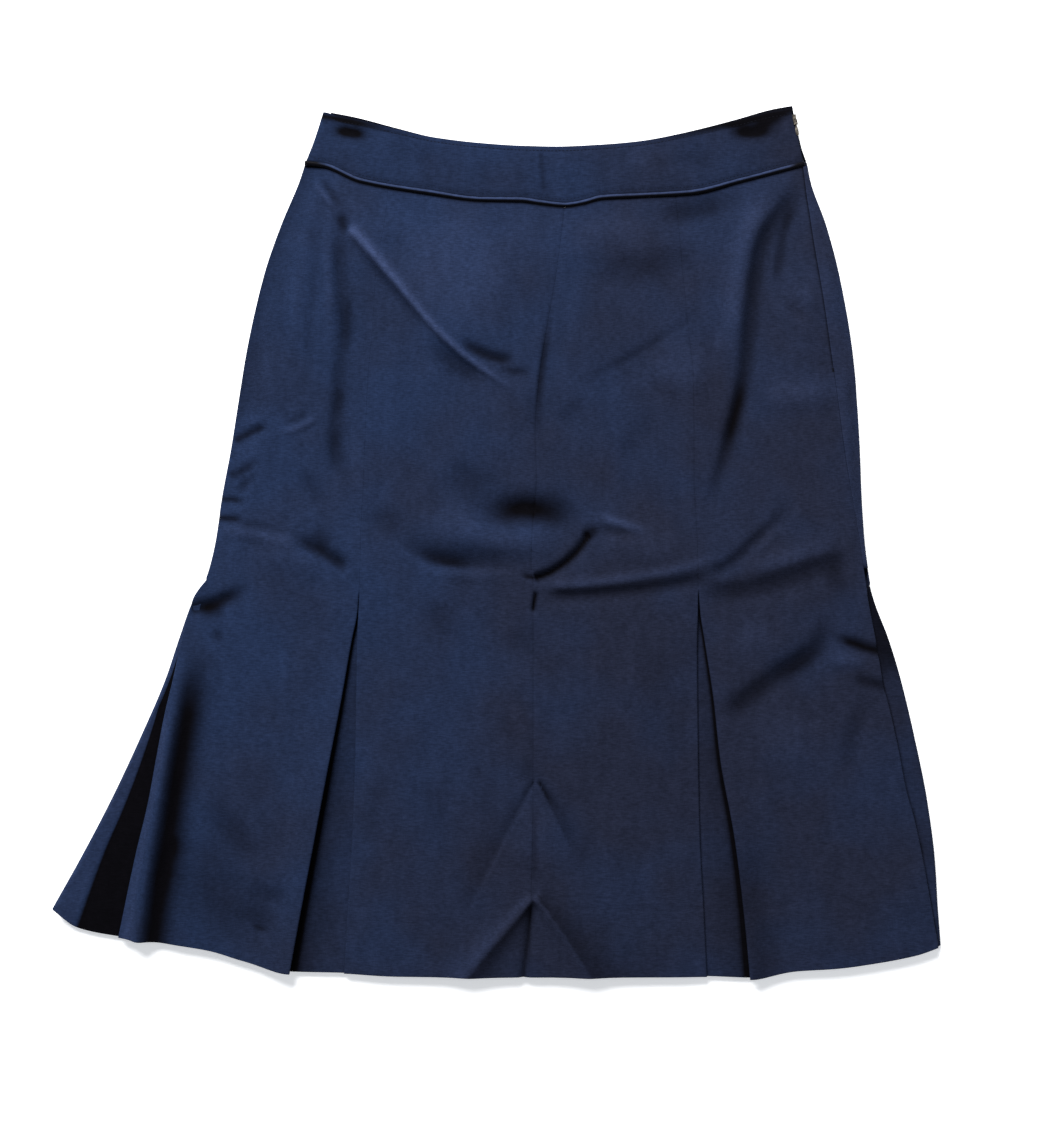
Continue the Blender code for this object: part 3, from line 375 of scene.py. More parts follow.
    "rightNickLight": ((248, -90, 266, -90, 284, -92), 4.6, 4.6, 1.1, 0.2),
    "rightNickLow": ((268, -102, 281, -106, 296, -110), 4, 4, -1.1, -0.6, {"fade": (0.4, 0.0)}),
    "rightStreak": ((282, -112, 275, -132, 268, -154, 262, -196), 6, 6, -0.9, -0.26),
    "rightGlow": ((224, -126, 220, -150, 214, -180), 18, 18, 1.0, 0.12),
    "rightGlowHigh": ((172, -70, 194, -73, 216, -62), 15, 15, 0.9, 0.13),
    "rightFoldShade": ((177, -190, 185, -250, 193, -300, 198, -334), 17, 4, 0, -0.32,
        {"fade": (0.4, 0.0)}),
    # the lower left panel and the fan beside it
    "cornerLeft": ((-233, -50, -220, -47, -208, -43, -196, -38, -184, -33), 4.2, 5.4, -2.0, -0.85,
        {"fade": (0.04, 0.5)}),
    "cornerUnder": ((-228, -54, -215, -53, -203, -51), 5, 5, -0.8, -0.5),
    "cornerSpots": ((-218, -67, -212, -71, -206, -73), 3.6, 3.6, -0.6, -0.42),
    "lowerLeft1": ((-230, -204, -207, -213, -193, -230, -184, -250), 9, 9, -1.2, -0.34),
    "lowerLeftBroad": ((-240, -216, -226, -250, -204, -282, -186, -306), 22, 22, -0.7, -0.34),
    "lowerLeft2": ((-250, -225, -242, -231, -232, -241), 7, 7, -0.4, -0.16),
    "lowerLeft3": ((-192, -261, -172, -268, -152, -267), 6, 6, -0.8, -0.3),
    "lowerLeft4": ((-196, -273, -182, -286, -167, -299), 9, 9, -1.0, -0.28),
    "lowerLeftDash": ((-187, -289.5, -180, -292.5, -172, -295), 1.6, 1.6, -0.5, -0.4),
    "fanCrest": ((-233, -66, -240, -108, -247, -150, -252, -182, -258.5, -216, -265, -256, -272, -308), 9,
        6, 5.6, 0.06, {"power": 1.4, "fade": (0.35, 0), "piece": "front_side_left"}),
    "fanGleam": ((-244, -110, -252, -150, -258, -180, -266, -216, -274, -256, -281, -308), 4, 4.5, 0, 0.3,
        {"fade": (0.2, 0), "piece": "front_side_left"}),
    "fanTrough": ((-226, -72, -231.5, -106, -238.5, -148, -244.5, -184, -250, -220, -256.5, -260,
        -263, -308), 12, 7, -2.2, -1.05, {"fade": (0.28, 0), "piece": "front_side_left"}),
    # the two crisp turned-up corners where the hem meets the middle seam
    "hemUpperLeft": ((29, -181, 19, -200, 7, -222, -6, -247, -20, -276, -32, -304), 1.4, 14, -1.3, -0.26,
        {"fade": (0.02, 0.5), "power": 1.5, "taper": (0.12, 1)}),
    "hemUpperRight": ((31, -181, 41, -200, 52, -222, 63, -245, 77, -274), 14, 1.4, -1.4, -0.36,
        {"fade": (0.02, 0.6), "power": 1.5, "taper": (0.12, 1)}),
    "hemUpperNear": ((30.5, -180, 37, -192, 45, -206), 4.5, 1.4, -0.6, -0.5, {"fade": (0.03, 0.6),
        "taper": (0.2, 1)}),
    "hemApexShade": ((24, -160, 23, -172, 24, -184), 5, 5, -0.4, -0.26),
    "hemUpperInside": ((30, -196, 29, -225, 28, -258), 15, 13, 1.2, 0.1, {"power": 1.5}),
    "hemLowerLeft": ((27.5, -268, 14, -284, 0, -300.5, -14, -317, -24, -331), 15, 11, 3.2, 0,
        {"fade": (0.02, 0), "power": 1.15, "taper": (0.15, 1)}),
    "hemLowerLeftInside": ((28, -270, 15, -286, 1, -302, -13, -319, -22, -331), 14, 1, 0, -0.6,
        {"fade": (0.02, 0), "power": 1.4, "taper": (0.2, 1)}),
    "hemLowerLeftOutside": ((25, -268, 12, -283, -2, -299, -17, -317, -27, -331), 1, 12, 0, 0.12,
        {"fade": (0.1, 0), "power": 1.4, "taper": (0.3, 1)}),
    "hemLowerRight": ((29, -268, 43, -287, 57, -307, 72, -331), 11, 14, 3.2, 0, {"fade": (0.02, 0),
        "power": 1.15, "taper": (0.15, 1)}),
    "hemLowerRightOutside": ((30, -267, 44, -286, 58, -306, 74, -331), 24, 1, 0, -0.55,
        {"fade": (0.02, 0), "power": 1.4, "taper": (0.2, 1)}),
    "hemMiddle": ((29.5, -196, 29, -232, 28.5, -266), 1.6, 1.6, -0.6, -0.3),
    "hemMiddleLow": ((26.5, -272, 24, -300, 20, -331), 1.8, 2.6, -2.0, -0.7, {"power": 1.3,
        "fade": (0.2, 0.0)}),
    # cloth lifted along the pleats' folds
    "pleatLiftLeft": ((-111, -60, -124, -150, -138, -226, -157, -332), 16, 16, 3.6, 0, {"fade": (0.5, 0),
        "piece": "front_side_left"}),
    "pleatLiftRight": ((157, -60, 168, -160, 179, -226, 191, -332), 13, 13, 2.4, 0, {"fade": (0.5, 0),
        "piece": "front_side_right"}),
    "pleatRestLeft": ((-105, -50, -108, -160, -117, -332), 14, 14, -0.9, 0, {"fade": (0.3, 0),
        "piece": "front_centre_left"}),
    "pleatRestRight": ((153, -50, 153, -160, 160, -332), 14, 14, -0.9, 0, {"fade": (0.3, 0),
        "piece": "front_centre_right"}),
}
usual = {"fade": (0.4, 0.4), "power": 2, "taper": (1, 1)}
relief = 1.45      # every height in the tables is made this much greater
blunt = 0.02       # takes the point off a crest


def curveThrough(points, perSpan=5):
    # Catmull-Rom: half of 2b + (c-a)t + (2a-5b+4c-d)t^2 + (3b-a-3c+d)t^3 between points b and c
    p = np.array(points, float)
    p = np.vstack([2 * p[0] - p[1], p, 2 * p[-1] - p[-2]])
    t = np.linspace(0, 1, perSpan, endpoint=False)[:, None]
    spans = []
    for a, b, c, d in zip(p[:-3], p[1:-2], p[2:-1], p[3:]):
        bend = (2 * a - 5 * b + 4 * c - d) * t ** 2 + (3 * b - a - 3 * c + d) * t ** 3
        spans.append((2 * b + (c - a) * t + bend) / 2)
    return np.vstack(spans + [p[-2:-1]])


def nearest(x, y, line):
    # the distance to a line of points, the side a point lies on (above 0 is left), and the share along it
    best = np.full(x.shape, np.inf)
    side, along = np.zeros_like(x), np.zeros_like(x)
    for k, (a, b) in enumerate(zip(line[:-1], line[1:])):
        run = b - a
        t = np.clip(((x - a[0]) * run[0] + (y - a[1]) * run[1]) / (run @ run), 0, 1)
        dx, dy = x - a[0] - t * run[0], y - a[1] - t * run[1]
        far = np.hypot(dx, dy)
        closer = far < best
        best = np.where(closer, far, best)
        side = np.where(closer, run[0] * dy - run[1] * dx, side)
        along = np.where(closer, (k + t) / (len(line) - 1), along)
    return best, side, along


def creaseSum(x, y, table, piece):
    # height and tone at each point: the sum of value * exp(-(distance / width)^power) * fade
    height, tone = np.zeros_like(x), np.zeros_like(x)
    for path, toLeft, toRight, rise, shade, *other in table.values():
        facts = usual | {"piece": piece} | (other[0] if other else {})
        if facts["piece"] != piece:
            continue
        line = curveThrough(np.reshape(path, (-1, 2)))
        reach = 3 * max(toLeft, toRight)
        low, high = line.min(0) - reach, line.max(0) + reach
        near = (x > low[0]) & (x < high[0]) & (y > low[1]) & (y < high[1])
        if not near.any():
            continue
        best, side, along = nearest(x[near], y[near], line)
        start, end = facts["fade"]
        fade = ease(along / start) if start else 1
        fade = fade * ease((1 - along) / end) if end else fade
        first, last = facts["taper"]
        width = np.where(side > 0, toLeft, toRight) * (first + (last - first) * along)
        rounded = np.sqrt((best / width) ** 2 + blunt) - math.sqrt(blunt)
        shape = np.exp(-rounded ** facts["power"]) * fade
        height[near] += rise * relief * shape
        tone[near] += shade * shape
    return height, tone


def waves(x, y, size):
    # three crossing waves of unlike lengths: the cloth's own unevenness
    total = np.sin(x / 23 + y / 61 + 1.3) + np.sin(x / -41 + y / 29 + 0.4) + np.sin(x / 13 + y / -17)
    return total * size / 3


def bell(far, wide):
    # exp(-(far / wide)^2)
    return np.exp(-(far / wide) ** 2)


front = {
    # how far in from its edges the face has risen, and the level from which it rises over the pleats
    "waistStart": 2, "waistSlope": 40, "leftSlope": 26, "rightSlope": 11, "pleatsFrom": 50,
    # its right edge lies on the zip's tape, from below the zip's end, eased over this height and width
    "zipBelow": 20, "zipSlope": 16, "zipWidth": 60,
    # the doubled hem, and its row of stitches, sunk and in painted shade, which is clearer towards the right
    "hemDepth": 52.0, "hemRise": 0.16, "hemSlope": 4,
    "stitchDeep": 0.14, "stitchTone": 0.07, "stitchWide": 1.4, "clearFrom": 20, "clearOver": 60,
    # shades: under the piping, along the left edge from this level up, and in the zip's slit
    "pipingWide": 1.2, "edgeTone": 0.3, "edgeWide": 13, "edgeFrom": 60, "edgeOver": 60,
    "slitTone": 0.7, "slitWide": 1.1, "slitOver": 6,
    # how clearly each seam shows, its pressed-open allowance, and its groove with painted shade
    "seams": {"left": 0.05, "centre": 0.6, "right": 0.5}, "seamOver": 6,
    "allowance": 11, "allowanceSlope": 2.5, "allowanceRise": 0.2,
    "grooveDeep": 0.45, "grooveWide": 1.1, "grooveTone": 0.15, "toneWide": 0.9,
    "uneven": 0.34,
    # the face stays above this level, and from this height down above the pleats' layers
    "lowest": 1.15, "lowestMore": 2.65, "lowestFrom": 20, "lowestSharp": 4,
}


def frontShape(x, y, piece):
    # underside of the front: edge + (lift - edge + creases) * held, with seam, allowance and hem marks
    over = ease((front["pleatsFrom"] - y) / (front["pleatsFrom"] - pleat["top"]))
    fromWaist = frontWaist(x) - y
    risen = ease((fromWaist - front["waistStart"]) / front["waistSlope"])
    rise = lift["waist"] + (lift["front"] - lift["waist"]) * risen
    rise = rise + (lift["overPleats"] - rise) * over
    held = ease((x - leftEdge(y)) / front["leftSlope"]) * ease((outlineRight(y) - x) / front["rightSlope"])
    held = held + (1 - held) * over
    overZip = lift["zipTape"] + lift["tapeThick"] + cloth["gap"]
    besideZip = ease((y - zipEnd + front["zipBelow"]) / front["zipSlope"])
    besideZip = besideZip * ease((x - seams["right"][0]) / front["zipWidth"])
    edge = layer(1) + (overZip - layer(1)) * besideZip

    # the creases' heights, with their painted shade and painted light
    height, tone = creaseSum(x, y, creases, piece)
    fromHem = y - smooth(x, hemLine["x"], hemLine["y"])
    height = height + front["hemRise"] * ease((front["hemDepth"] - fromHem) / front["hemSlope"])
    clear = 0.5 + 0.5 * ease((x - front["clearFrom"]) / front["clearOver"])
    # painted shade in the hem's stitch line, under the piping, along the left edge and in the zip's slit
    stitches = bell(fromHem - front["hemDepth"], front["stitchWide"]) * clear
    height = height - front["stitchDeep"] * stitches
    tone = tone - front["stitchTone"] * stitches
    tone = tone - bell(fromWaist - pipingRoom, front["pipingWide"])
    edgeShade = bell(x - leftEdge(y), front["edgeWide"]) * ease((y - front["edgeFrom"]) / front["edgeOver"])
    slit = bell(x - zipLine(y), front["slitWide"]) * ease((y - zipEnd) / front["slitOver"])
    tone = tone - front["edgeTone"] * edgeShade - front["slitTone"] * slit

    above = ease((y - pleat["top"]) / front["seamOver"])
    for name, strength in front["seams"].items():
        far = np.abs(x - read(seams, name, y))
        sewn = strength * (above if name != "centre" else 1.0)
        allowance = ease((front["allowance"] - far) / front["allowanceSlope"])
        height = height + sewn * front["allowanceRise"] * allowance
        height = height - sewn * front["grooveDeep"] * bell(far, front["grooveWide"])
        # painted shade in the seam's groove
        tone = tone - sewn * front["grooveTone"] * bell(far, front["toneWide"])
    height = height + waves(x, y, front["uneven"])

    low = front["lowest"] + front["lowestMore"] * ease((front["lowestFrom"] - y) / front["lowestFrom"])
    total = edge + (rise - edge + height) * held
    total = low + np.logaddexp(0, (total - low) * front["lowestSharp"]) / front["lowestSharp"]
    return total, np.clip(tone, -1, 1)


def frontUnder(x, y):
    return frontShape(x, y, "front")[0]


def meshOf(name, points, faces, look, tone):
    # points in millimetres, faces as lists of their numbers, and a tone for each point: its painted shade and
    # light
    mesh = bpy.data.meshes.new(name)
    mesh.from_pydata((points * mm).tolist(), [], faces)
    if tone is not None:
        mesh.attributes.new("tone", "FLOAT", "POINT").data.foreach_set("value", tone.astype(np.float32))
    mesh.shade_smooth()
    mesh.materials.append(look)
    made = bpy.data.objects.new(name, mesh)
    bpy.context.scene.collection.objects.link(made)
    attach(made, body)
    return made


def gridFaces(kept, columns):
    # quads a, b, c, d round each kept cell of a grid, facing up where x grows with the column
    number = np.arange(kept.size).reshape(kept.shape)[kept]
    row, column = number // kept.shape[1], number % kept.shape[1]
    a = row * columns + column
    return np.stack([a, a + columns, a + columns + 1, a + 1], 1)


def makeSheet(name, grid, tone, kept, look, thick, node, restsOn):
    # the middle of the cloth as a grid of points, given its thickness on both sides
    used, faces = np.unique(gridFaces(kept, grid.shape[1]), return_inverse=True)
    points, shades = grid.reshape(-1, 3)[used], tone.reshape(-1)[used]
    made = meshOf(name, points, faces.reshape(-1, 4).tolist(), look, shades)
    solid = made.modifiers.new("wall", "SOLIDIFY")
    solid.thickness = thick * mm
    solid.offset = 0
    solid.use_even_offset = False       # a sharp bend would throw out spikes
    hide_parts(node)
    across = np.linalg.norm(np.diff(grid, axis=1), axis=2)
    along = np.linalg.norm(np.diff(grid, axis=0), axis=2)
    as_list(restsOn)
    return made


# Panels
panels = {
    "fine": 1.5, "medium": 2.0, "coarse": 4.0,   # spacing of the grid
    "nearEdge": (0.0025, 0.008), "inner": 0.016, # shares of the width: closer columns, then the even ones
    "frontWidth": 140.0, "backWidth": 130.0,     # a panel's width, which sets the number of its columns
    "bendSteps": 7, "returnSteps": 10, "wrapSteps": 14, "backSteps": 4,
    "returnCurve": 1.5,     # how quickly a return comes down to its layer
    "foldOver": 8,          # the height over which a seam turns into a fold
    # painted shade on the returns turned in behind a fold
    "returnTone": -0.15,
}


def insetOf(turn, thick):
    # how far the face stops short of its edge: half the gap at a seam, the bend's depth at a fold
    seamInset = cloth["seam"] / 2
    foldInset = thick / 2 + cloth["bend"]
    if not turn:
        return lambda y: np.full_like(y, seamInset)
    if turn["always"]:
        return lambda y: np.full_like(y, foldInset)
    return lambda y: seamInset + (foldInset - seamInset) * ease((pleat["top"] - y) / panels["foldOver"])


def turnColumns(turn, way, edge, inset, face, rows, levels, thick):
    # the cloth that turns at an edge: a half round of 'bend' depth, then the return going inwards
    angles = np.linspace(0, math.pi, panels["bendSteps"])[1:]
    depth = cloth["bend"] / (thick / 2 + cloth["bend"])
    shares = np.linspace(0, 1, turn["steps"] + 1)[1:]
    swing = np.concatenate([np.sin(angles), np.zeros(len(shares))])
    reachShare = np.concatenate([np.zeros(len(angles)), shares])
    blend = np.concatenate([(1 - np.cos(angles)) / 2, np.ones(len(shares))])

    def line(y):
        near = inset(y) * (1 - depth * swing)
        return edge(y) - way * (near + reachShare * turn["reach"](y))

    x, y = place(line, rows, levels, len(swing))
    top, tone = face(x, y)
    low = turn["lower"](x, y, reachShare)
    z = top + (low - top) * blend + thick / 2
    level = np.asarray(levels)[:-1, None]
    rowKept = turn["rows"](level) & turn["rows"](np.asarray(levels)[1:, None])
    bendKept = turn["bendRows"](level)
    half = blend <= 0.5
    kept = np.where(half, bendKept | rowKept, rowKept)
    return np.stack([x, y, z], 2), np.where(half, tone, turn.get("tone", panels["returnTone"])), kept


def closerByEdges(near, inner, count):
    # shares from 0 to 1: a few closer ones by either edge, and even ones between
    start = np.array([0, *near])
    return np.concatenate([start, np.linspace(inner, 1 - inner, count), 1 - start[::-1]])


def panelGrid(left, right, step, face, rows, levels, leftTurn, rightTurn, thick, across):
    # rows of points from the left edge to the right, with the cloth that turns at either edge
    leftInset, rightInset = insetOf(leftTurn, thick), insetOf(rightTurn, thick)
    shares = closerByEdges(panels["nearEdge"], panels["inner"], int(across / step))

    def line(y):
        low, high = left(y) + leftInset(y), right(y) - rightInset(y)
        return low + shares * (high - low)

    x, y = place(line, rows, levels, len(shares))
    z, tone = face(x, y)
    grids, tones = [np.stack([x, y, z + thick / 2], 2)], [tone]
    keeps = [np.ones((len(levels) - 1, len(shares) - 1), bool)]
    if leftTurn:
        grid, shade, kept = turnColumns(leftTurn, -1, left, leftInset, face, rows, levels, thick)
        grids.insert(0, grid[:, ::-1])
        tones.insert(0, shade[:, ::-1])
        keeps.insert(0, kept[:, ::-1])
    if rightTurn:
        grid, shade, kept = turnColumns(rightTurn, 1, right, rightInset, face, rows, levels, thick)
        grids.append(grid)
        tones.append(shade)
        keeps.append(kept)
    return np.concatenate(grids, 1), np.concatenate(tones, 1), np.concatenate(keeps, 1)


def belowTop(level):
    return level <= pleat["top"]


def everywhere(level):
    return np.ones(np.shape(level), bool)


def aboveOrBelow(level):
    return (level >= pleat["turnEnd"]) | (level <= pleat["top"])


def abovePleats(y):
    return y > pleat["top"] + 1


def frontReturn(piece):
    # a pressed fold: the return follows the face at its fold and comes down to its layer inside
    def lower(x, y, share):
        face = frontShape(x, y, piece)[0] - layer(1)
        return layer(4) + np.maximum(face - layer(4), 0) * (1 - share) ** panels["returnCurve"]
    return {"reach": hidden, "lower": lower, "steps": panels["returnSteps"], "rows": belowTop,
            "bendRows": belowTop, "always": False}


def skirtLevels(step):
    return spread(rowTable["level"][0], hemLevel, step)


def makeFront(look):
    rows = skirtRows(frontWaist)

    def wrapReach(y):
        return np.where(abovePleats(y), pleat["sideTurn"], hidden(y))

    def wrapLower(x, y, share):
        return np.where(abovePleats(y), 0.0, frontReturn("front_side_left")["lower"](x, y, share))

    wrap = {"reach": wrapReach, "lower": wrapLower, "steps": panels["returnSteps"], "rows": aboveOrBelow,
            "bendRows": everywhere, "always": True}
    centre = lineOf(seams, "centre")
    pieces = (   # name, edges, whether each turns, grid, and what it lies on
        ("front_side_left", leftEdge, seamOrFold("left", "leftSide"), wrap, True, "medium",
         ["front_pleat_underlay_left", "back_side_left"]),
        ("front_centre_left", seamOrFold("left", "leftCentre"), centre, True, None, "fine",
         ["front_pleat_underlay_left", "back_centre_left"]),
        ("front_centre_right", centre, seamOrFold("right", "rightCentre"), None, True, "medium",
         ["front_pleat_underlay_right", "back_centre_right"]),
        ("front_side_right", seamOrFold("right", "rightSide"), zipLine, True, True, "medium",
         ["front_pleat_underlay_right", "back_side_right"]),
    )
    for name, left, right, leftTurn, rightTurn, grain, below in pieces:
        leftTurn = frontReturn(name) if leftTurn is True else leftTurn
        rightTurn = frontReturn(name) if rightTurn is True else rightTurn

        def face(x, y):
            return frontShape(x, y, name)

        grid, tone, kept = panelGrid(left, right, panels[grain], face, rows, skirtLevels(panels[grain]),
                                     leftTurn, rightTurn, cloth["thick"], panels["frontWidth"])
        makeSheet(name.replace("front", "cloth_front"), grid, tone, kept, look, cloth["thick"], name, below)


back = {
    "inset": 2, "hemInset": 5,            # its side folds lie inside the front's, and more at the hem
    "wrapGaps": 1.5, "leastWrap": 0.6,    # between its wrap and the zip's line, in gaps, and the wrap's least
    # painted light, a little, on the wrap round the right edge; painted shade along the seams
    "wrapTone": 0.12, "seamTone": 0.25, "seamWide": 1.0,
}


def backShape(x, y):
    # the back lies flat on the surface, its seams marked by painted shade alone
    tone = np.zeros_like(x)
    for seam in ("seamLeft", "centre", "seamRight"):
        tone = tone - back["seamTone"] * bell(x - backLines[seam], back["seamWide"])
    return np.zeros_like(x), tone


def makeBack(look):
    levels = skirtLevels(panels["coarse"])
    rows = skirtRows(backWaist)

    def leftSide(y):
        under = outlineLeft(y) + cloth["thick"] + pleat["sideTurn"] + cloth["gap"]
        return np.where(abovePleats(y), under, leftEdge(y) + back["inset"])

    def rightSide(y):
        fold = outlineRight(y) - back["inset"] - back["hemInset"] * down(y)
        return np.where(abovePleats(y), outlineRight(y), fold)

    def wrapReach(y):
        toZip = outlineRight(y) - cloth["thick"] - zipLine(y) - cloth["gap"] * back["wrapGaps"]
        return np.where(abovePleats(y), np.maximum(toZip, back["leastWrap"]), hidden(y))

    def wrapLower(x, y, share):
        return np.where(abovePleats(y), frontUnder(x, y), layer(1))

    flat = {"reach": hidden, "lower": lambda x, y, share: np.full_like(x, layer(1)),
            "steps": panels["backSteps"], "rows": belowTop, "bendRows": belowTop, "always": False}
    wrap = {"reach": wrapReach, "lower": wrapLower, "steps": panels["wrapSteps"], "rows": aboveOrBelow,
            "bendRows": everywhere, "always": True, "tone": back["wrapTone"]}
    centre = backEdge("centre", "centreFold")
    pieces = (
        ("back_side_left", leftSide, backEdge("seamLeft", "leftSide"), flat, flat),
        ("back_centre_left", backEdge("seamLeft", "leftCentre"), centre, flat, None),
        ("back_centre_right", centre, backEdge("seamRight", "rightCentre"), None, flat),
        ("back_side_right", backEdge("seamRight", "rightSide"), rightSide, flat, wrap),
    )
    for name, left, right, leftTurn, rightTurn in pieces:
        grid, tone, kept = panelGrid(left, right, panels["coarse"], backShape, rows, levels,
                                     leftTurn, rightTurn, cloth["thick"], panels["backWidth"])
        makeSheet(name.replace("back", "cloth_back"), grid, tone, kept, look, cloth["thick"], name, ["floor"])


def pleatLevels():
    levels = skirtLevels(panels["medium"])
    return np.concatenate([[pleat["top"]], levels[levels < pleat["top"] - 0.5]])


underlay = {
    "front": {"layer": 3, "columns": 40, "near": 1.3, "nearMore": 2.6},   # the painted shade by the side panel's edge
    "back": {"layer": 2, "columns": 12, "near": 1.0, "nearMore": 0.0},
    "left": {"shade": 0.62, "lines": ("leftSide", "leftCentre")},         # and its shade further out
    "right": {"shade": 0.42, "lines": ("rightSide", "rightCentre")},
    "shadeWide": 20, "shadeGrows": 0.5,
}


def makeUnderlays(look):
    # a gore that bridges the pleat behind its two folds, level on its layer
    levels, rows = pleatLevels(), skirtRows(frontWaist)
    for part in ("front", "back"):
        for end in ("left", "right"):
            facts, hand = underlay[part], underlay[end]
            if part == "front":
                side, centre = (lineOf(folds, line) for line in hand["lines"])
            else:
                side, centre = (backEdge("seam" + end.capitalize(), line) for line in hand["lines"])
            left, right = (centre, side) if end == "right" else (side, centre)
            shares = np.linspace(0, 1, facts["columns"])

            def line(y):
                low, high = left(y) - hidden(y), right(y) + hidden(y)
                return low + shares * (high - low)

            x, y = place(line, rows, levels, len(shares))
            z = np.full_like(x, layer(facts["layer"]) + cloth["thick"] / 2)
            gap = np.abs(side(y) - x)
            # painted shade by the side panel's fold: narrow and dark, with a broad faint shade that grows
            # towards the hem
            shade = hand["shade"] * bell(gap, underlay["shadeWide"]) * down(y) ** underlay["shadeGrows"]
            tone = -bell(gap, facts["near"] + facts["nearMore"] * down(y)) - shade
            kept = np.ones((len(levels) - 1, len(shares) - 1), bool)
            name = f"{part}_pleat_underlay_{end}"
            makeSheet("cloth_" + name, np.stack([x, y, z], 2), tone, kept, look, cloth["thick"], name,
                      ["back_centre_" + end])


fan = {
    # how far the outer half stands up at the hem, and how far in x the valley, the fold in front and the
    # fold behind lie from their lines: the outline at the right, the fan's own and the panel's at the left
    "left": {"rise": 6.0, "valley": -2, "front": 1, "back": 3},
    "right": {"rise": 0.4, "valley": -5, "front": -8, "back": -9},
    "tip": 0.5, "crest": 1.5, "least": 1.5,      # the tip's inset, the crest's, and the least facet
    "perFacet": 8, "perEnd": 3, "bowUp": 0.8, "bowDown": 1.25,
    # the tones of painted light and painted shade on the facets, set in fanShade
    "lit": 0.3, "litFrom": 1.3, "litOver": 0.1, "dark": -1.0, "turned": -0.1,
    "closed": 0.12, "closedMore": 0.72, "closedTop": 114, "closedOver": 34, "besideWide": 1.4,
}


def fanShade(name, x, y, shares, riseA, riseB, upper):
    # painted shade: the closed pleat beside its panel, the open one's wedge between its panel's fold and its
    # valley, the cloth under that fold, and its turned-under half a little; painted light: the open one's
    # outer facet, darkening towards its valley
    if name == "right":
        beside = bell(x - zipLine(y), fan["besideWide"])
        shade = np.maximum(ease((fan["closedTop"] + y) / fan["closedOver"]), beside)
        return -fan["closed"] - fan["closedMore"] * shade
    if not upper:
        return np.full_like(x, fan["turned"])
    if riseB > riseA:
        return fan["lit"] - fan["litFrom"] * bell(shares, fan["litOver"]) + 0 * x
    return np.full_like(x, fan["lit"] if riseA else fan["dark"])


def makeSideUnderlays(look):
    # a gore folded in half along the skirt's edge: hidden end, fold, valley, tip, and back below
    levels, rows = pleatLevels(), skirtRows(frontWaist)
    thick = cloth["thick"]
    sides = (
        ("left", -1, outlineLeft, lineOf(fanValley), leftEdge),
        ("right", 1, outlineRight, outlineRight, outlineRight),
    )
    for name, way, outer, valleyLine, foldLine in sides:
        facts = fan[name]

        def tip(y):
            return outer(y) - way * (fan["tip"] + thick / 2)

        def crest(y):
            return tip(y) - way * fan["crest"]

        def inward(line, shift, limit):
            return lambda y: way * np.minimum(way * (line(y) + shift), way * limit(y) - fan["least"])

        valley = inward(valleyLine, facts["valley"], crest)
        frontFold = inward(foldLine, facts["front"], valley)
        backFold = inward(foldLine, facts["back"], valley)
        upper, lower = layer(3) + thick / 2, layer(2) + thick / 2
        stations = (   # line, share of the rise, level
            (lambda y: frontFold(y) - way * hidden(y), 0.0, upper),
            (frontFold, 0.0, upper),
            (valley, 0.0, upper),
            (crest, 1.0, upper),
            (tip, 1.0, (upper + lower) / 2),
            (crest, 1.0, lower),
            (valley, 0.0, lower),
            (backFold, 0.0, lower),
            (lambda y: backFold(y) - way * hidden(y), 0.0, lower),
        )
        columns, shades = [], []
        for (lineA, riseA, levelA), (lineB, riseB, levelB) in zip(stations[:-1], stations[1:]):
            count = fan["perFacet"] if levelA == levelB else fan["perEnd"]
            shares = np.linspace(0, 1, count, endpoint=False)

            def line(y):
                return lineA(y) + shares * (lineB(y) - lineA(y))

            x, y = place(line, rows, levels, count)
            opened = np.clip((pleat["fanTop"] - y) / (pleat["fanTop"] - hemLevel), 0, 1)
            bow = riseA + (riseB - riseA) * shares ** (fan["bowUp"] if riseB > riseA else fan["bowDown"])
            z = levelA + (levelB - levelA) * shares + facts["rise"] * opened * bow
            columns.append(np.stack([x, y, z], 2))
            shades.append(fanShade(name, x, y, shares, riseA, riseB, levelA == upper))
        x, y = place(lambda y: stations[-1][0](y)[:, :1], rows, levels, 1)
        columns.append(np.stack([x, y, np.full_like(x, lower)], 2))
        shades.append(np.zeros_like(x))
        grid, tone = np.concatenate(columns, 1), np.concatenate(shades, 1)
        if way < 0:
            grid, tone = grid[:, ::-1], tone[:, ::-1]
        kept = np.ones((grid.shape[0] - 1, grid.shape[1] - 1), bool)
        makeSheet("cloth_side_pleat_underlay_" + name, grid, tone, kept, look, thick,
                  "side_pleat_underlay_" + name, ["back_side_" + name])


# Waistband and piping
band = {
    # its top edge falls towards the ends, except at the wrapped one; the back's edge shows above it there
    "dip": 2.6, "dipFrom": -130, "dipOver": 12, "peek": 2.2, "tuck": 0.6,
    "turn": 4.0, "turnSteps": 8,                 # the cloth wrapped round at the left end
    "frontStep": 1.4, "frontWidth": 365.0, "backStep": 4.0, "backWidth": 350.0,
    "nearEdge": (0.008, 0.025), "inner": 0.05, "frontRows": 28, "backRows": 10,
    # its middle stands above its edges, which round down, and it stays above this level
    "puff": 0.7, "topDeep": 0.5, "lowDeep": 0.4, "edgeShare": 0.05, "lowest": 1.9, "uneven": 0.14,
    # the rows of stitches below the top edge and above the seam, each in a groove with painted shade
    "topRow": 3.4, "lowRow": 4.4, "grooveDeep": 0.32, "grooveWide": 0.8, "grooveTone": 0.2, "toneWide": 0.7,
    "pipingTone": 0.6, "pipingWide": 1.0,        # the shade just above the piping
    # painted shade all over the back band, where it shows above the front's edge
    "backTone": -0.92,
}
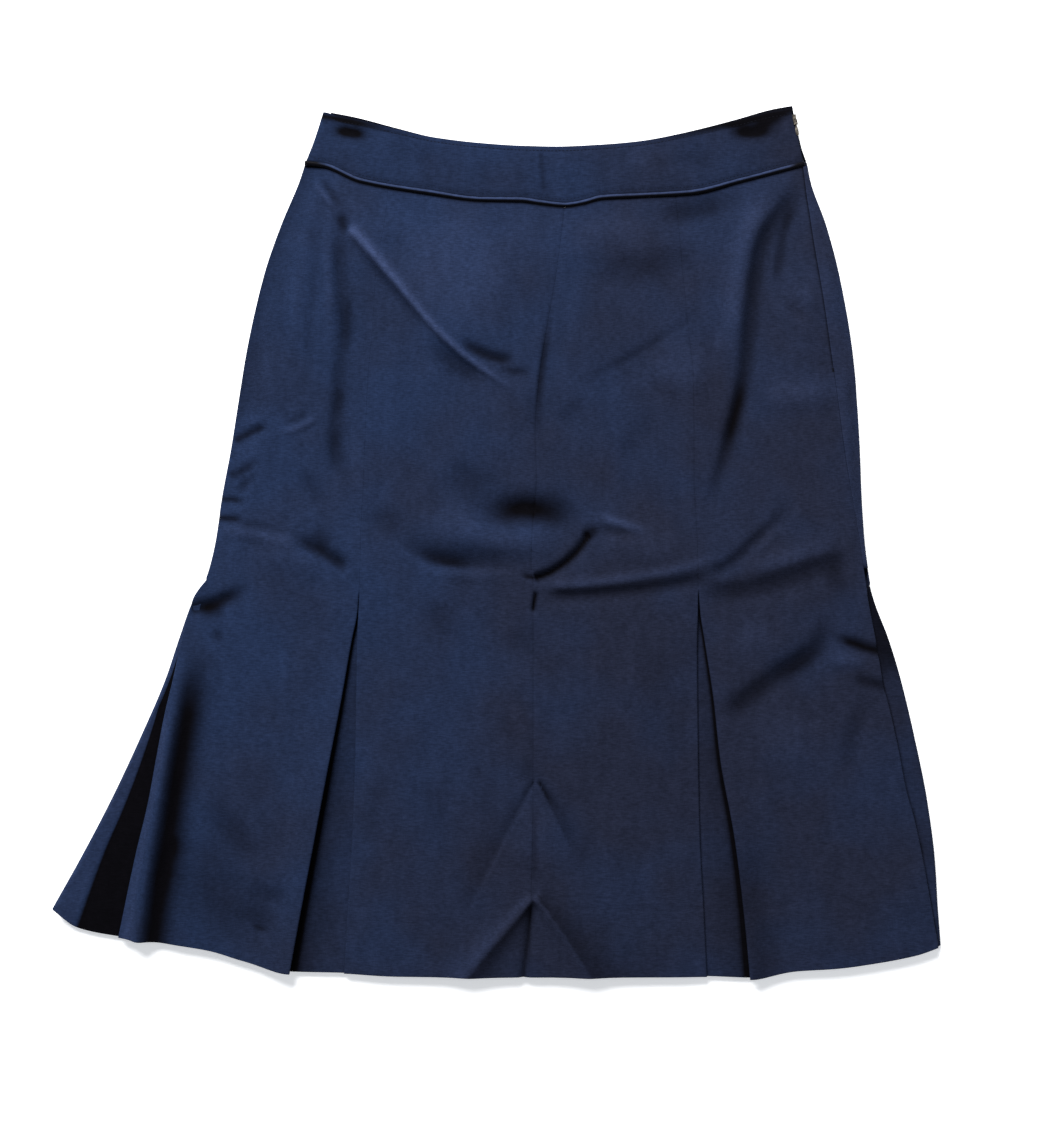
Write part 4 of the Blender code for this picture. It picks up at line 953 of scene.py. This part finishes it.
bandCreases = {   # the same columns as the front's creases
    # painted shade in the dents, along the top edge's rims and in the soft hollows; painted light on the soft
    # swell
    "dentLeft": ((-130, 314, -118, 313.5, -106, 311.5, -94, 308), 4, 4.6, -1.0, -1.3,
        {"fade": (0.42, 0.42)}),
    "dentRight": ((170, 313.5, 186, 313, 202, 313.5, 220, 317), 5.4, 5, -1.1, -1.35,
        {"fade": (0.46, 0.46)}),
    "dentRightTop": ((192, 319, 208, 322, 226, 325), 4.4, 4.4, -0.4, -0.8),
    "rimLeft": ((-136, 325, -116, 322, -96, 318, -72, 312.5, -40, 306.5), 2.8, 2.6, 0, -1.0,
        {"fade": (0.0, 0.7)}),
    "rimRight": ((96, 303.6, 122, 307, 150, 313, 180, 320, 204, 326.5, 226, 330.5), 3.4, 3.0, 0, -1.0,
        {"fade": (0.6, 0.0), "taper": (0.5, 1.3)}),
    "softLeft": ((-80, 300, -56, 292, -40, 288), 8, 8, -0.4, -0.15),
    "softMiddle": ((33, 299, 34.5, 282, 36, 263), 2, 2, -0.3, -0.34, {"fade": (0.15, 0.2)}),
    "softRight": ((96, 296, 108, 288, 122, 284), 9, 9, 0.5, 0.1),
    "softEnd": ((140, 300, 152, 292, 166, 290), 9, 7, -0.5, -0.2),
}


def bandDipAt(x):
    fromWrap = ease((x - band["dipFrom"]) / band["dipOver"])
    return -band["dip"] * towardEnds(x) * fromWrap


def bandShape(x, y):
    # underside of the band: level + puff * 4 s (1 - s) + creases, less the grooves and the round edges
    top = smooth(x, bandTop["x"], bandTop["y"]) + bandDipAt(x)
    low = frontWaist(x) + pipingRoom
    share = np.clip((top - y) / (top - low), 0, 1)
    height, tone = creaseSum(x, y, bandCreases, "band")
    height = height + band["puff"] * 4 * share * (1 - share) + waves(x * 2, y * 2, band["uneven"])
    for far in (top - y - band["topRow"], y - frontWaist(x) - band["lowRow"]):
        height = height - band["grooveDeep"] * bell(far, band["grooveWide"])
        # painted shade in each groove
        tone = tone - band["grooveTone"] * bell(far, band["toneWide"])
    height = height - band["topDeep"] * bell(share, band["edgeShare"])
    height = height - band["lowDeep"] * bell(1 - share, band["edgeShare"])
    # painted shade just above the piping
    tone = tone - band["pipingTone"] * bell(y - low, band["pipingWide"])
    return np.maximum(lift["band"] + height, band["lowest"]), np.clip(tone, -1, 1)


def makeWaistband(look):
    thick = cloth["bandThick"]
    wrap = {"reach": lambda y: np.full_like(y, band["turn"]), "lower": lambda x, y, share: np.zeros_like(x),
            "steps": band["turnSteps"], "rows": everywhere, "bendRows": everywhere, "always": True}
    shares = closerByEdges(band["nearEdge"], band["inner"], band["frontRows"])
    grid, tone, kept = panelGrid(lineOf(bandEnds, "left"), lineOf(bandEnds, "zip"), band["frontStep"],
                                 bandShape, bandRows(frontWaist, bandDipAt), shares, wrap, None, thick,
                                 band["frontWidth"])
    makeSheet("band_front", grid, tone, kept, look, thick, "waistband_front", ["waistband_back"])

    def left(y):
        return read(bandEnds, "left", y) + band["turn"] + thick + cloth["gap"]

    # the back band: flat, in painted shade all over
    def flat(x, y):
        return np.zeros_like(x), np.full_like(x, band["backTone"])

    def rise(x):
        return band["peek"] * towardEnds(x) - band["tuck"]

    grid, tone, kept = panelGrid(left, lineOf(bandEnds, "right"), band["backStep"], flat,
                                 bandRows(backWaist, rise), np.linspace(0, 1, band["backRows"]),
                                 None, None, thick, band["backWidth"])
    makeSheet("band_back", grid, tone, kept, look, thick, "waistband_back", ["floor"])


def ring(sides):
    return np.arange(sides) / sides * 2 * math.pi


def tubeFaces(rings, sides):
    # quads between neighbouring rings of points, then the face at either end
    i, k = np.meshgrid(np.arange(rings - 1), np.arange(sides), indexing="ij")
    n = (k + 1) % sides
    quads = np.stack([i * sides + n, (i + 1) * sides + n, (i + 1) * sides + k, i * sides + k], 2)
    last = np.arange((rings - 1) * sides, rings * sides)
    return quads.reshape(-1, 4), np.arange(sides)[None, ::-1], last[None]


piping = {
    "front": {"seam": frontWaist, "left": -146.4, "right": 234.2, "middle": 4.1, "high": 1.2, "up": 0.1},
    "back": {"seam": backWaist, "left": -146.8, "right": 236.4, "middle": 0.65, "high": 0.65, "up": 0.0},
    "radius": 1.75, "sides": 14, "steps": 300, "endSize": 0.8,
    "swell": ((0.03, 1.7), (0.04, 11)),          # its covering isn't quite even: how much, how slowly
    # the front's tone: painted shade on the lower side and towards its ends, painted light above, with these
    # insets and slopes; the back's tone is painted shade all over
    "toneSpan": 1.6, "turnFrom": 0.15, "turnOver": 0.5, "leftEnd": (8, 12), "rightEnd": (5, 8),
    "backTone": -0.8,
}


def makePiping(name, look):
    # an oval carried along the seam: centre + across * r cos(a) + up * h sin(a), closed at its ends
    facts = piping[name]
    x = np.linspace(facts["left"], facts["right"], piping["steps"])
    y = facts["seam"](x) + facts["up"]
    slope = np.gradient(y, x)
    across = np.stack([-slope, np.ones_like(slope)], 1) / np.hypot(slope, 1)[:, None]
    turn = ring(piping["sides"])
    twist = np.ones_like(x)
    for amount, length in piping["swell"]:
        twist = twist + amount * np.sin(x / length)
    shrink = np.ones_like(x)
    shrink[[0, -1]] = piping["endSize"]
    size = (piping["radius"] * twist * shrink)[:, None]
    points = np.empty((len(x), len(turn), 3))
    points[:, :, 0] = x[:, None] + across[:, :1] * np.cos(turn) * size
    points[:, :, 1] = y[:, None] + across[:, 1:] * np.cos(turn) * size
    points[:, :, 2] = facts["middle"] + facts["high"] * np.sin(turn) * (twist * shrink)[:, None]
    # painted shade over the back piping; on the front one painted shade below and at the ends, painted light
    # on the upper side
    tone = np.full(points.shape[:2], piping["backTone"])
    if name == "front":
        (leftInset, leftSlope), (rightInset, rightSlope) = piping["leftEnd"], piping["rightEnd"]
        upper = ease((np.cos(turn) + piping["turnFrom"]) / piping["turnOver"])
        inside = ease((x - facts["left"] - leftInset) / leftSlope)
        inside = inside * ease((facts["right"] - rightInset - x) / rightSlope)
        tone = np.outer(inside, piping["toneSpan"] * upper) - 1
    faces = [face for part in tubeFaces(len(x), len(turn)) for face in part.tolist()]
    made = meshOf("piping_roll_" + name, points.reshape(-1, 3), faces, look, tone.reshape(-1))
    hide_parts("piping_" + name)


stitches = {
    "sides": 6, "rings": 5, "thinnest": 0.04,
    "row": (-140, 226, 800), "fromLeft": 3, "fromZip": 2,      # where the band's rows run
    "lifted": 0.2,                                             # in heights of the stitch
    "band": {"pitch": 2.8, "long": 1.7, "wide": 0.5, "high": 0.26},
    "tack": {"pitch": 0.6, "long": 2.4, "wide": 0.5, "high": 0.4, "count": 5, "inset": 0.4},
}


def stitchMesh(name, x, y, z, angles, look, sizes):
    # one round-ended stitch, its girth the root of 1 - s^4, turned and set down at each spot
    along = np.linspace(-1, 1, stitches["rings"])[:, None]
    girth = np.sqrt(np.clip(1 - along ** 4, stitches["thinnest"], 1))
    turn = ring(stitches["sides"])
    long = (along * sizes["long"] / 2 + 0 * turn).reshape(-1)
    wide = (girth * np.cos(turn) * sizes["wide"] / 2).reshape(-1)
    high = (girth * np.sin(turn) * sizes["high"] / 2).reshape(-1)
    cos, sin = np.cos(angles)[:, None], np.sin(angles)[:, None]
    points = np.stack([x[:, None] + cos * long - sin * wide, y[:, None] + sin * long + cos * wide,
                       z[:, None] + high], 2)
    shift = (np.arange(len(x)) * len(long))[:, None, None]
    faces = []
    for part in tubeFaces(len(along), len(turn)):
        faces += (part + shift).reshape(-1, part.shape[1]).tolist()
    return meshOf(name, points.reshape(-1, 3), faces, look, None)


def evenSpots(xs, ys, pitch, aside=0.5):
    # points at equal steps of length along a line, with the line's angle there
    far = np.concatenate([[0], np.cumsum(np.hypot(np.diff(xs), np.diff(ys)))])
    at = np.arange(pitch / 2, far[-1], pitch)
    angle = np.arctan2(np.interp(at + aside, far, ys) - np.interp(at - aside, far, ys),
                       np.interp(at + aside, far, xs) - np.interp(at - aside, far, xs))
    return np.interp(at, far, xs), np.interp(at, far, ys), angle


def makeStitches(look):
    xs = np.linspace(*stitches["row"])
    top = smooth(xs, bandTop["x"], bandTop["y"]) + bandDipAt(xs) - band["topRow"]
    low = frontWaist(xs) + band["lowRow"]
    facts = stitches["band"]
    for name, ys in (("band_stitches_top", top), ("band_stitches_low", low)):
        inside = xs > read(bandEnds, "left", ys) + stitches["fromLeft"]
        inside = inside & (xs < read(bandEnds, "zip", ys) - stitches["fromZip"])
        x, y, angle = evenSpots(xs[inside], ys[inside], facts["pitch"])
        z = bandShape(x, y)[0] + cloth["bandThick"] + facts["high"] * stitches["lifted"]
        stitchMesh(name, x, y, z, angle, look, facts)
    facts = stitches["tack"]
    y = zipEnd + np.arange(facts["count"]) * facts["pitch"]
    x = zipLine(y) - facts["inset"]
    z = frontUnder(x, y) + cloth["thick"]
    stitchMesh("zip_bar_tack", x, y, z, np.zeros_like(y), look, facts)


# Finishes
navy = {
    # ridge is painted light on ridges and hollow is painted shade in hollows; the second, darker colour
    # serves both the cloth's random patches and the painted falloff of light
    "base": (0.0116, 0.0206, 0.0520), "patchesAndPaintedFalloff": (0.0118, 0.0146, 0.0300), "ridge": (0.027, 0.040, 0.092),
    "hollow": (0.0016, 0.0014, 0.0024),
    "roughness": 0.85, "specular": 0.03, "sheen": 0.008, "sheenRough": 0.4, "sheenTint": (0.55, 0.68, 1.0),
    # a painted falloff of light across the skirt, darker towards the lower right, from one place to another,
    # and the cloth's random patches (scale, detail)
    "paintedFalloff": {"way": (1.3, -0.6, 0), "from": -0.25, "to": 0.18, "most": 0.42},
    "patches": (14, 2), "patchEdges": (0.35, 0.65), "patchShare": (0.15, 0.75),
    "bump": (0.35, 0.00025),
}
weave = {   # the scale, detail and stretch of a noise, and how much it lightens and darkens the cloth
    "threads": (700, 2, (0.35, 1.5, 1), 0.21),
    "warp": (900, 2, (1.6, 0.3, 1), 0.08),
    "fuzz": (260, 3, (1, 1, 1), 0.08),
    "mottle": (85, 3, (1.2, 0.7, 1), 0.08),
    "streaks": (130, 2, (1, 0.12, 1), 0.04),
}
noiseEdges = (0.3, 0.7)     # most of a noise lies between these
plain = {
    "navyThread": {"dark": (0.0012, 0.0014, 0.003), "light": (0.004, 0.005, 0.011), "roughness": 0.8,
                   "metallic": 0, "specular": 0.1, "grain": (1500, 3, (1, 4, 4)), "bump": (0.4, 0.0001)},
    "zipTapeWeave": {"dark": (0.004, 0.005, 0.010), "light": (0.012, 0.014, 0.024), "roughness": 0.75,
                     "metallic": 0, "specular": 0.5, "grain": (1200, 3, (3, 0.6, 1)), "bump": (0.4, 0.0001)},
    "agedNickel": {"dark": (0.012, 0.009, 0.007), "light": (0.22, 0.20, 0.17), "roughness": 0.45,
                   "metallic": 1, "specular": 0.5, "grain": (420, 3, (1, 1, 1)), "bump": (0.4, 0.00005)},
    "roughSpread": 0.08,
}


def colour(rgb):
    return (*rgb, 1.0)


def setInputs(tree, node, values):
    # each value is a socket to link or a number to set
    for key, value in values.items():
        if hasattr(value, "is_linked"):
            tree.links.new(value, node.inputs[key])
        else:
            node.inputs[key].default_value = value


def addNode(tree, kind, output, values, **settings):
    made = tree.nodes.new("ShaderNode" + kind)
    for name, value in settings.items():
        setattr(made, name, value)
    setInputs(tree, made, values)
    return made.outputs[output]


def newMaterial(name):
    made = bpy.data.materials.new(name)
    made.use_nodes = True
    return made, made.node_tree, made.node_tree.nodes["Principled BSDF"]


def noise(tree, where, scale, detail, stretch=(1, 1, 1)):
    stretched = addNode(tree, "Mapping", "Vector", {"Scale": stretch, "Vector": where})
    return addNode(tree, "TexNoise", "Fac", {"Scale": scale, "Detail": detail, "Vector": stretched})


def ramp(tree, source, edges, result=(0.0, 1.0)):
    return addNode(tree, "MapRange", "Result", {"Value": source, "From Min": edges[0], "From Max": edges[1],
                                                "To Min": result[0], "To Max": result[1]})


def mix(tree, share, first, second, way="MIX"):
    return addNode(tree, "Mix", "Result", {"Factor": share, "A": first, "B": second},
                   data_type="RGBA", blend_type=way)


def combine(tree, first, second, operation):
    return addNode(tree, "Math", "Value", {0: first, 1: second}, operation=operation)


def bumpOf(tree, height, strength, distance):
    return addNode(tree, "Bump", "Normal", {"Strength": strength, "Distance": distance, "Height": height})


def clothMaterial(name, tint=1.0, sheen=navy["sheen"], roughness=navy["roughness"]):
    # navy wool: a painted falloff of light with random patches, painted shade in hollows, painted light on
    # ridges, and fine uneven cross threads
    made, tree, shader = newMaterial(name)
    where = addNode(tree, "TexCoord", "Object", {})
    paintedFalloff = navy["paintedFalloff"]
    # painted falloff of light: darker towards the lower right, added to the random patches
    across = addNode(tree, "VectorMath", "Value", {0: where, 1: paintedFalloff["way"]}, operation="DOT_PRODUCT")
    across = ramp(tree, across, (paintedFalloff["from"], paintedFalloff["to"]), (-paintedFalloff["most"], paintedFalloff["most"]))
    patches = ramp(tree, noise(tree, where, *navy["patches"]), navy["patchEdges"], navy["patchShare"])
    base, patchesAndPaintedFalloff = colour(np.multiply(navy["base"], tint)), colour(np.multiply(navy["patchesAndPaintedFalloff"], tint))
    look = mix(tree, combine(tree, patches, across, "ADD"), base, patchesAndPaintedFalloff)
    tone = addNode(tree, "Attribute", "Fac", {}, attribute_name="tone")
    # painted shade from a negative tone, painted light from a positive one
    look = mix(tree, ramp(tree, tone, (0, -1)), look, colour(navy["hollow"]))
    look = mix(tree, ramp(tree, tone, (0, 1)), look, colour(navy["ridge"]))
    fibres, grain = {}, 1.0
    for part, (scale, detail, stretch, amount) in weave.items():
        fibres[part] = noise(tree, where, scale, detail, stretch)
        share = ramp(tree, fibres[part], noiseEdges, (1 - amount, 1 + amount))
        grain = combine(tree, grain, share, "MULTIPLY")
    grey = addNode(tree, "CombineColor", "Color", {"Red": grain, "Green": grain, "Blue": grain})
    relief = combine(tree, fibres["threads"], fibres["warp"], "ADD")
    setInputs(tree, shader, {
        "Base Color": mix(tree, 1.0, look, grey, "MULTIPLY"), "Roughness": roughness,
        "Specular IOR Level": navy["specular"], "Sheen Weight": sheen,
        "Sheen Roughness": navy["sheenRough"], "Sheen Tint": colour(navy["sheenTint"]),
        "Normal": bumpOf(tree, relief, *navy["bump"]),
    })
    return made


def plainMaterial(name):
    facts = plain[name]
    made, tree, shader = newMaterial(name)
    grain = noise(tree, addNode(tree, "TexCoord", "Object", {}), *facts["grain"])
    rough = (facts["roughness"] - plain["roughSpread"], facts["roughness"] + plain["roughSpread"])
    share = ramp(tree, grain, noiseEdges)
    setInputs(tree, shader, {
        "Base Color": mix(tree, share, colour(facts["dark"]), colour(facts["light"])),
        "Roughness": ramp(tree, grain, noiseEdges, rough), "Metallic": facts["metallic"],
        "Specular IOR Level": facts["specular"], "Normal": bumpOf(tree, grain, *facts["bump"]),
    })
    return made


def useMaterial(node, look):
    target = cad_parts[node]
    target.data.materials.clear()
    target.data.materials.append(look)


suiting = clothMaterial("navySuiting")
bandWool = clothMaterial("navyBand", tint=0.93)
# the piping: a satin's sheen and lower roughness, and painted light, its colour a quarter lighter than the
# skirt's
pipingSatinAndPaintedLight = clothMaterial("navyPiping", tint=1.25, sheen=0.2, roughness=0.5)
thread = plainMaterial("navyThread")
tapeWeave = plainMaterial("zipTapeWeave")
metal = plainMaterial("agedNickel")
print("finishes are made")

makeFront(suiting)
makeBack(suiting)
makeUnderlays(suiting)
makeSideUnderlays(suiting)
makeWaistband(bandWool)
makePiping("front", pipingSatinAndPaintedLight)
makePiping("back", pipingSatinAndPaintedLight)
makeStitches(thread)
useMaterial("zip_tape", tapeWeave)
useMaterial("zip_slider", metal)
useMaterial("zip_pull_tab", metal)
print("cloth and fittings are made")

# Stage
stage = {
    "floorSize": 6.0, "floorDrop": 0.15, "floorColour": (0.97, 0.97, 0.975),
    "floorRoughness": 0.9, "floorSpecular": 0.1,
    "floorGlow": 0.42,                           # the floor glows though it is no lamp: painted light that keeps the shadows on it faint
    "key": {"from": (-0.9, 2.65, 2.35), "size": 1.9, "power": 266.0},
    "fill": {"from": (1.5, -0.4, 2.2), "size": 2.4, "power": 9.0},
    "world": (0.93, 0.96, 1.0), "worldStrength": 0.23,
}


def makeLight(name):
    facts = stage[name]
    data = bpy.data.lights.new(name, "AREA")
    data.shape = "DISK"
    data.size = facts["size"]
    data.energy = facts["power"]
    made = bpy.data.objects.new(name, data)
    made.location = facts["from"]
    x, y, z = np.array([*camera["middle"], 0]) * mm - np.array(facts["from"])     # towards the skirt
    made.rotation_euler = (math.atan2(math.hypot(x, y), -z), 0, math.atan2(y, x) - math.pi / 2)
    bpy.context.scene.collection.objects.link(made)


def makeStage():
    half, low = stage["floorSize"] / 2, -stage["floorDrop"] * mm
    mesh = bpy.data.meshes.new("floor")
    mesh.from_pydata([(-half, -half, low), (half, -half, low), (half, half, low), (-half, half, low)], [],
                     [(0, 1, 2, 3)])
    floor = bpy.data.objects.new("floor", mesh)
    bpy.context.scene.collection.objects.link(floor)
    paper, tree, shader = newMaterial("paleFloor")
    setInputs(tree, shader, {
        "Base Color": colour(stage["floorColour"]), "Roughness": stage["floorRoughness"],
        "Specular IOR Level": stage["floorSpecular"], "Emission Color": colour(stage["world"]),
        "Emission Strength": stage["floorGlow"],
    })
    mesh.materials.append(paper)
    makeLight("key")
    makeLight("fill")
    world = bpy.data.worlds.new("studio")
    world.use_nodes = True
    setInputs(world.node_tree, world.node_tree.nodes["Background"],
              {"Color": colour(stage["world"]), "Strength": stage["worldStrength"]})
    bpy.context.scene.world = world
    bpy.context.scene.view_settings.view_transform = "Standard"


makeStage()
print("stage is set")
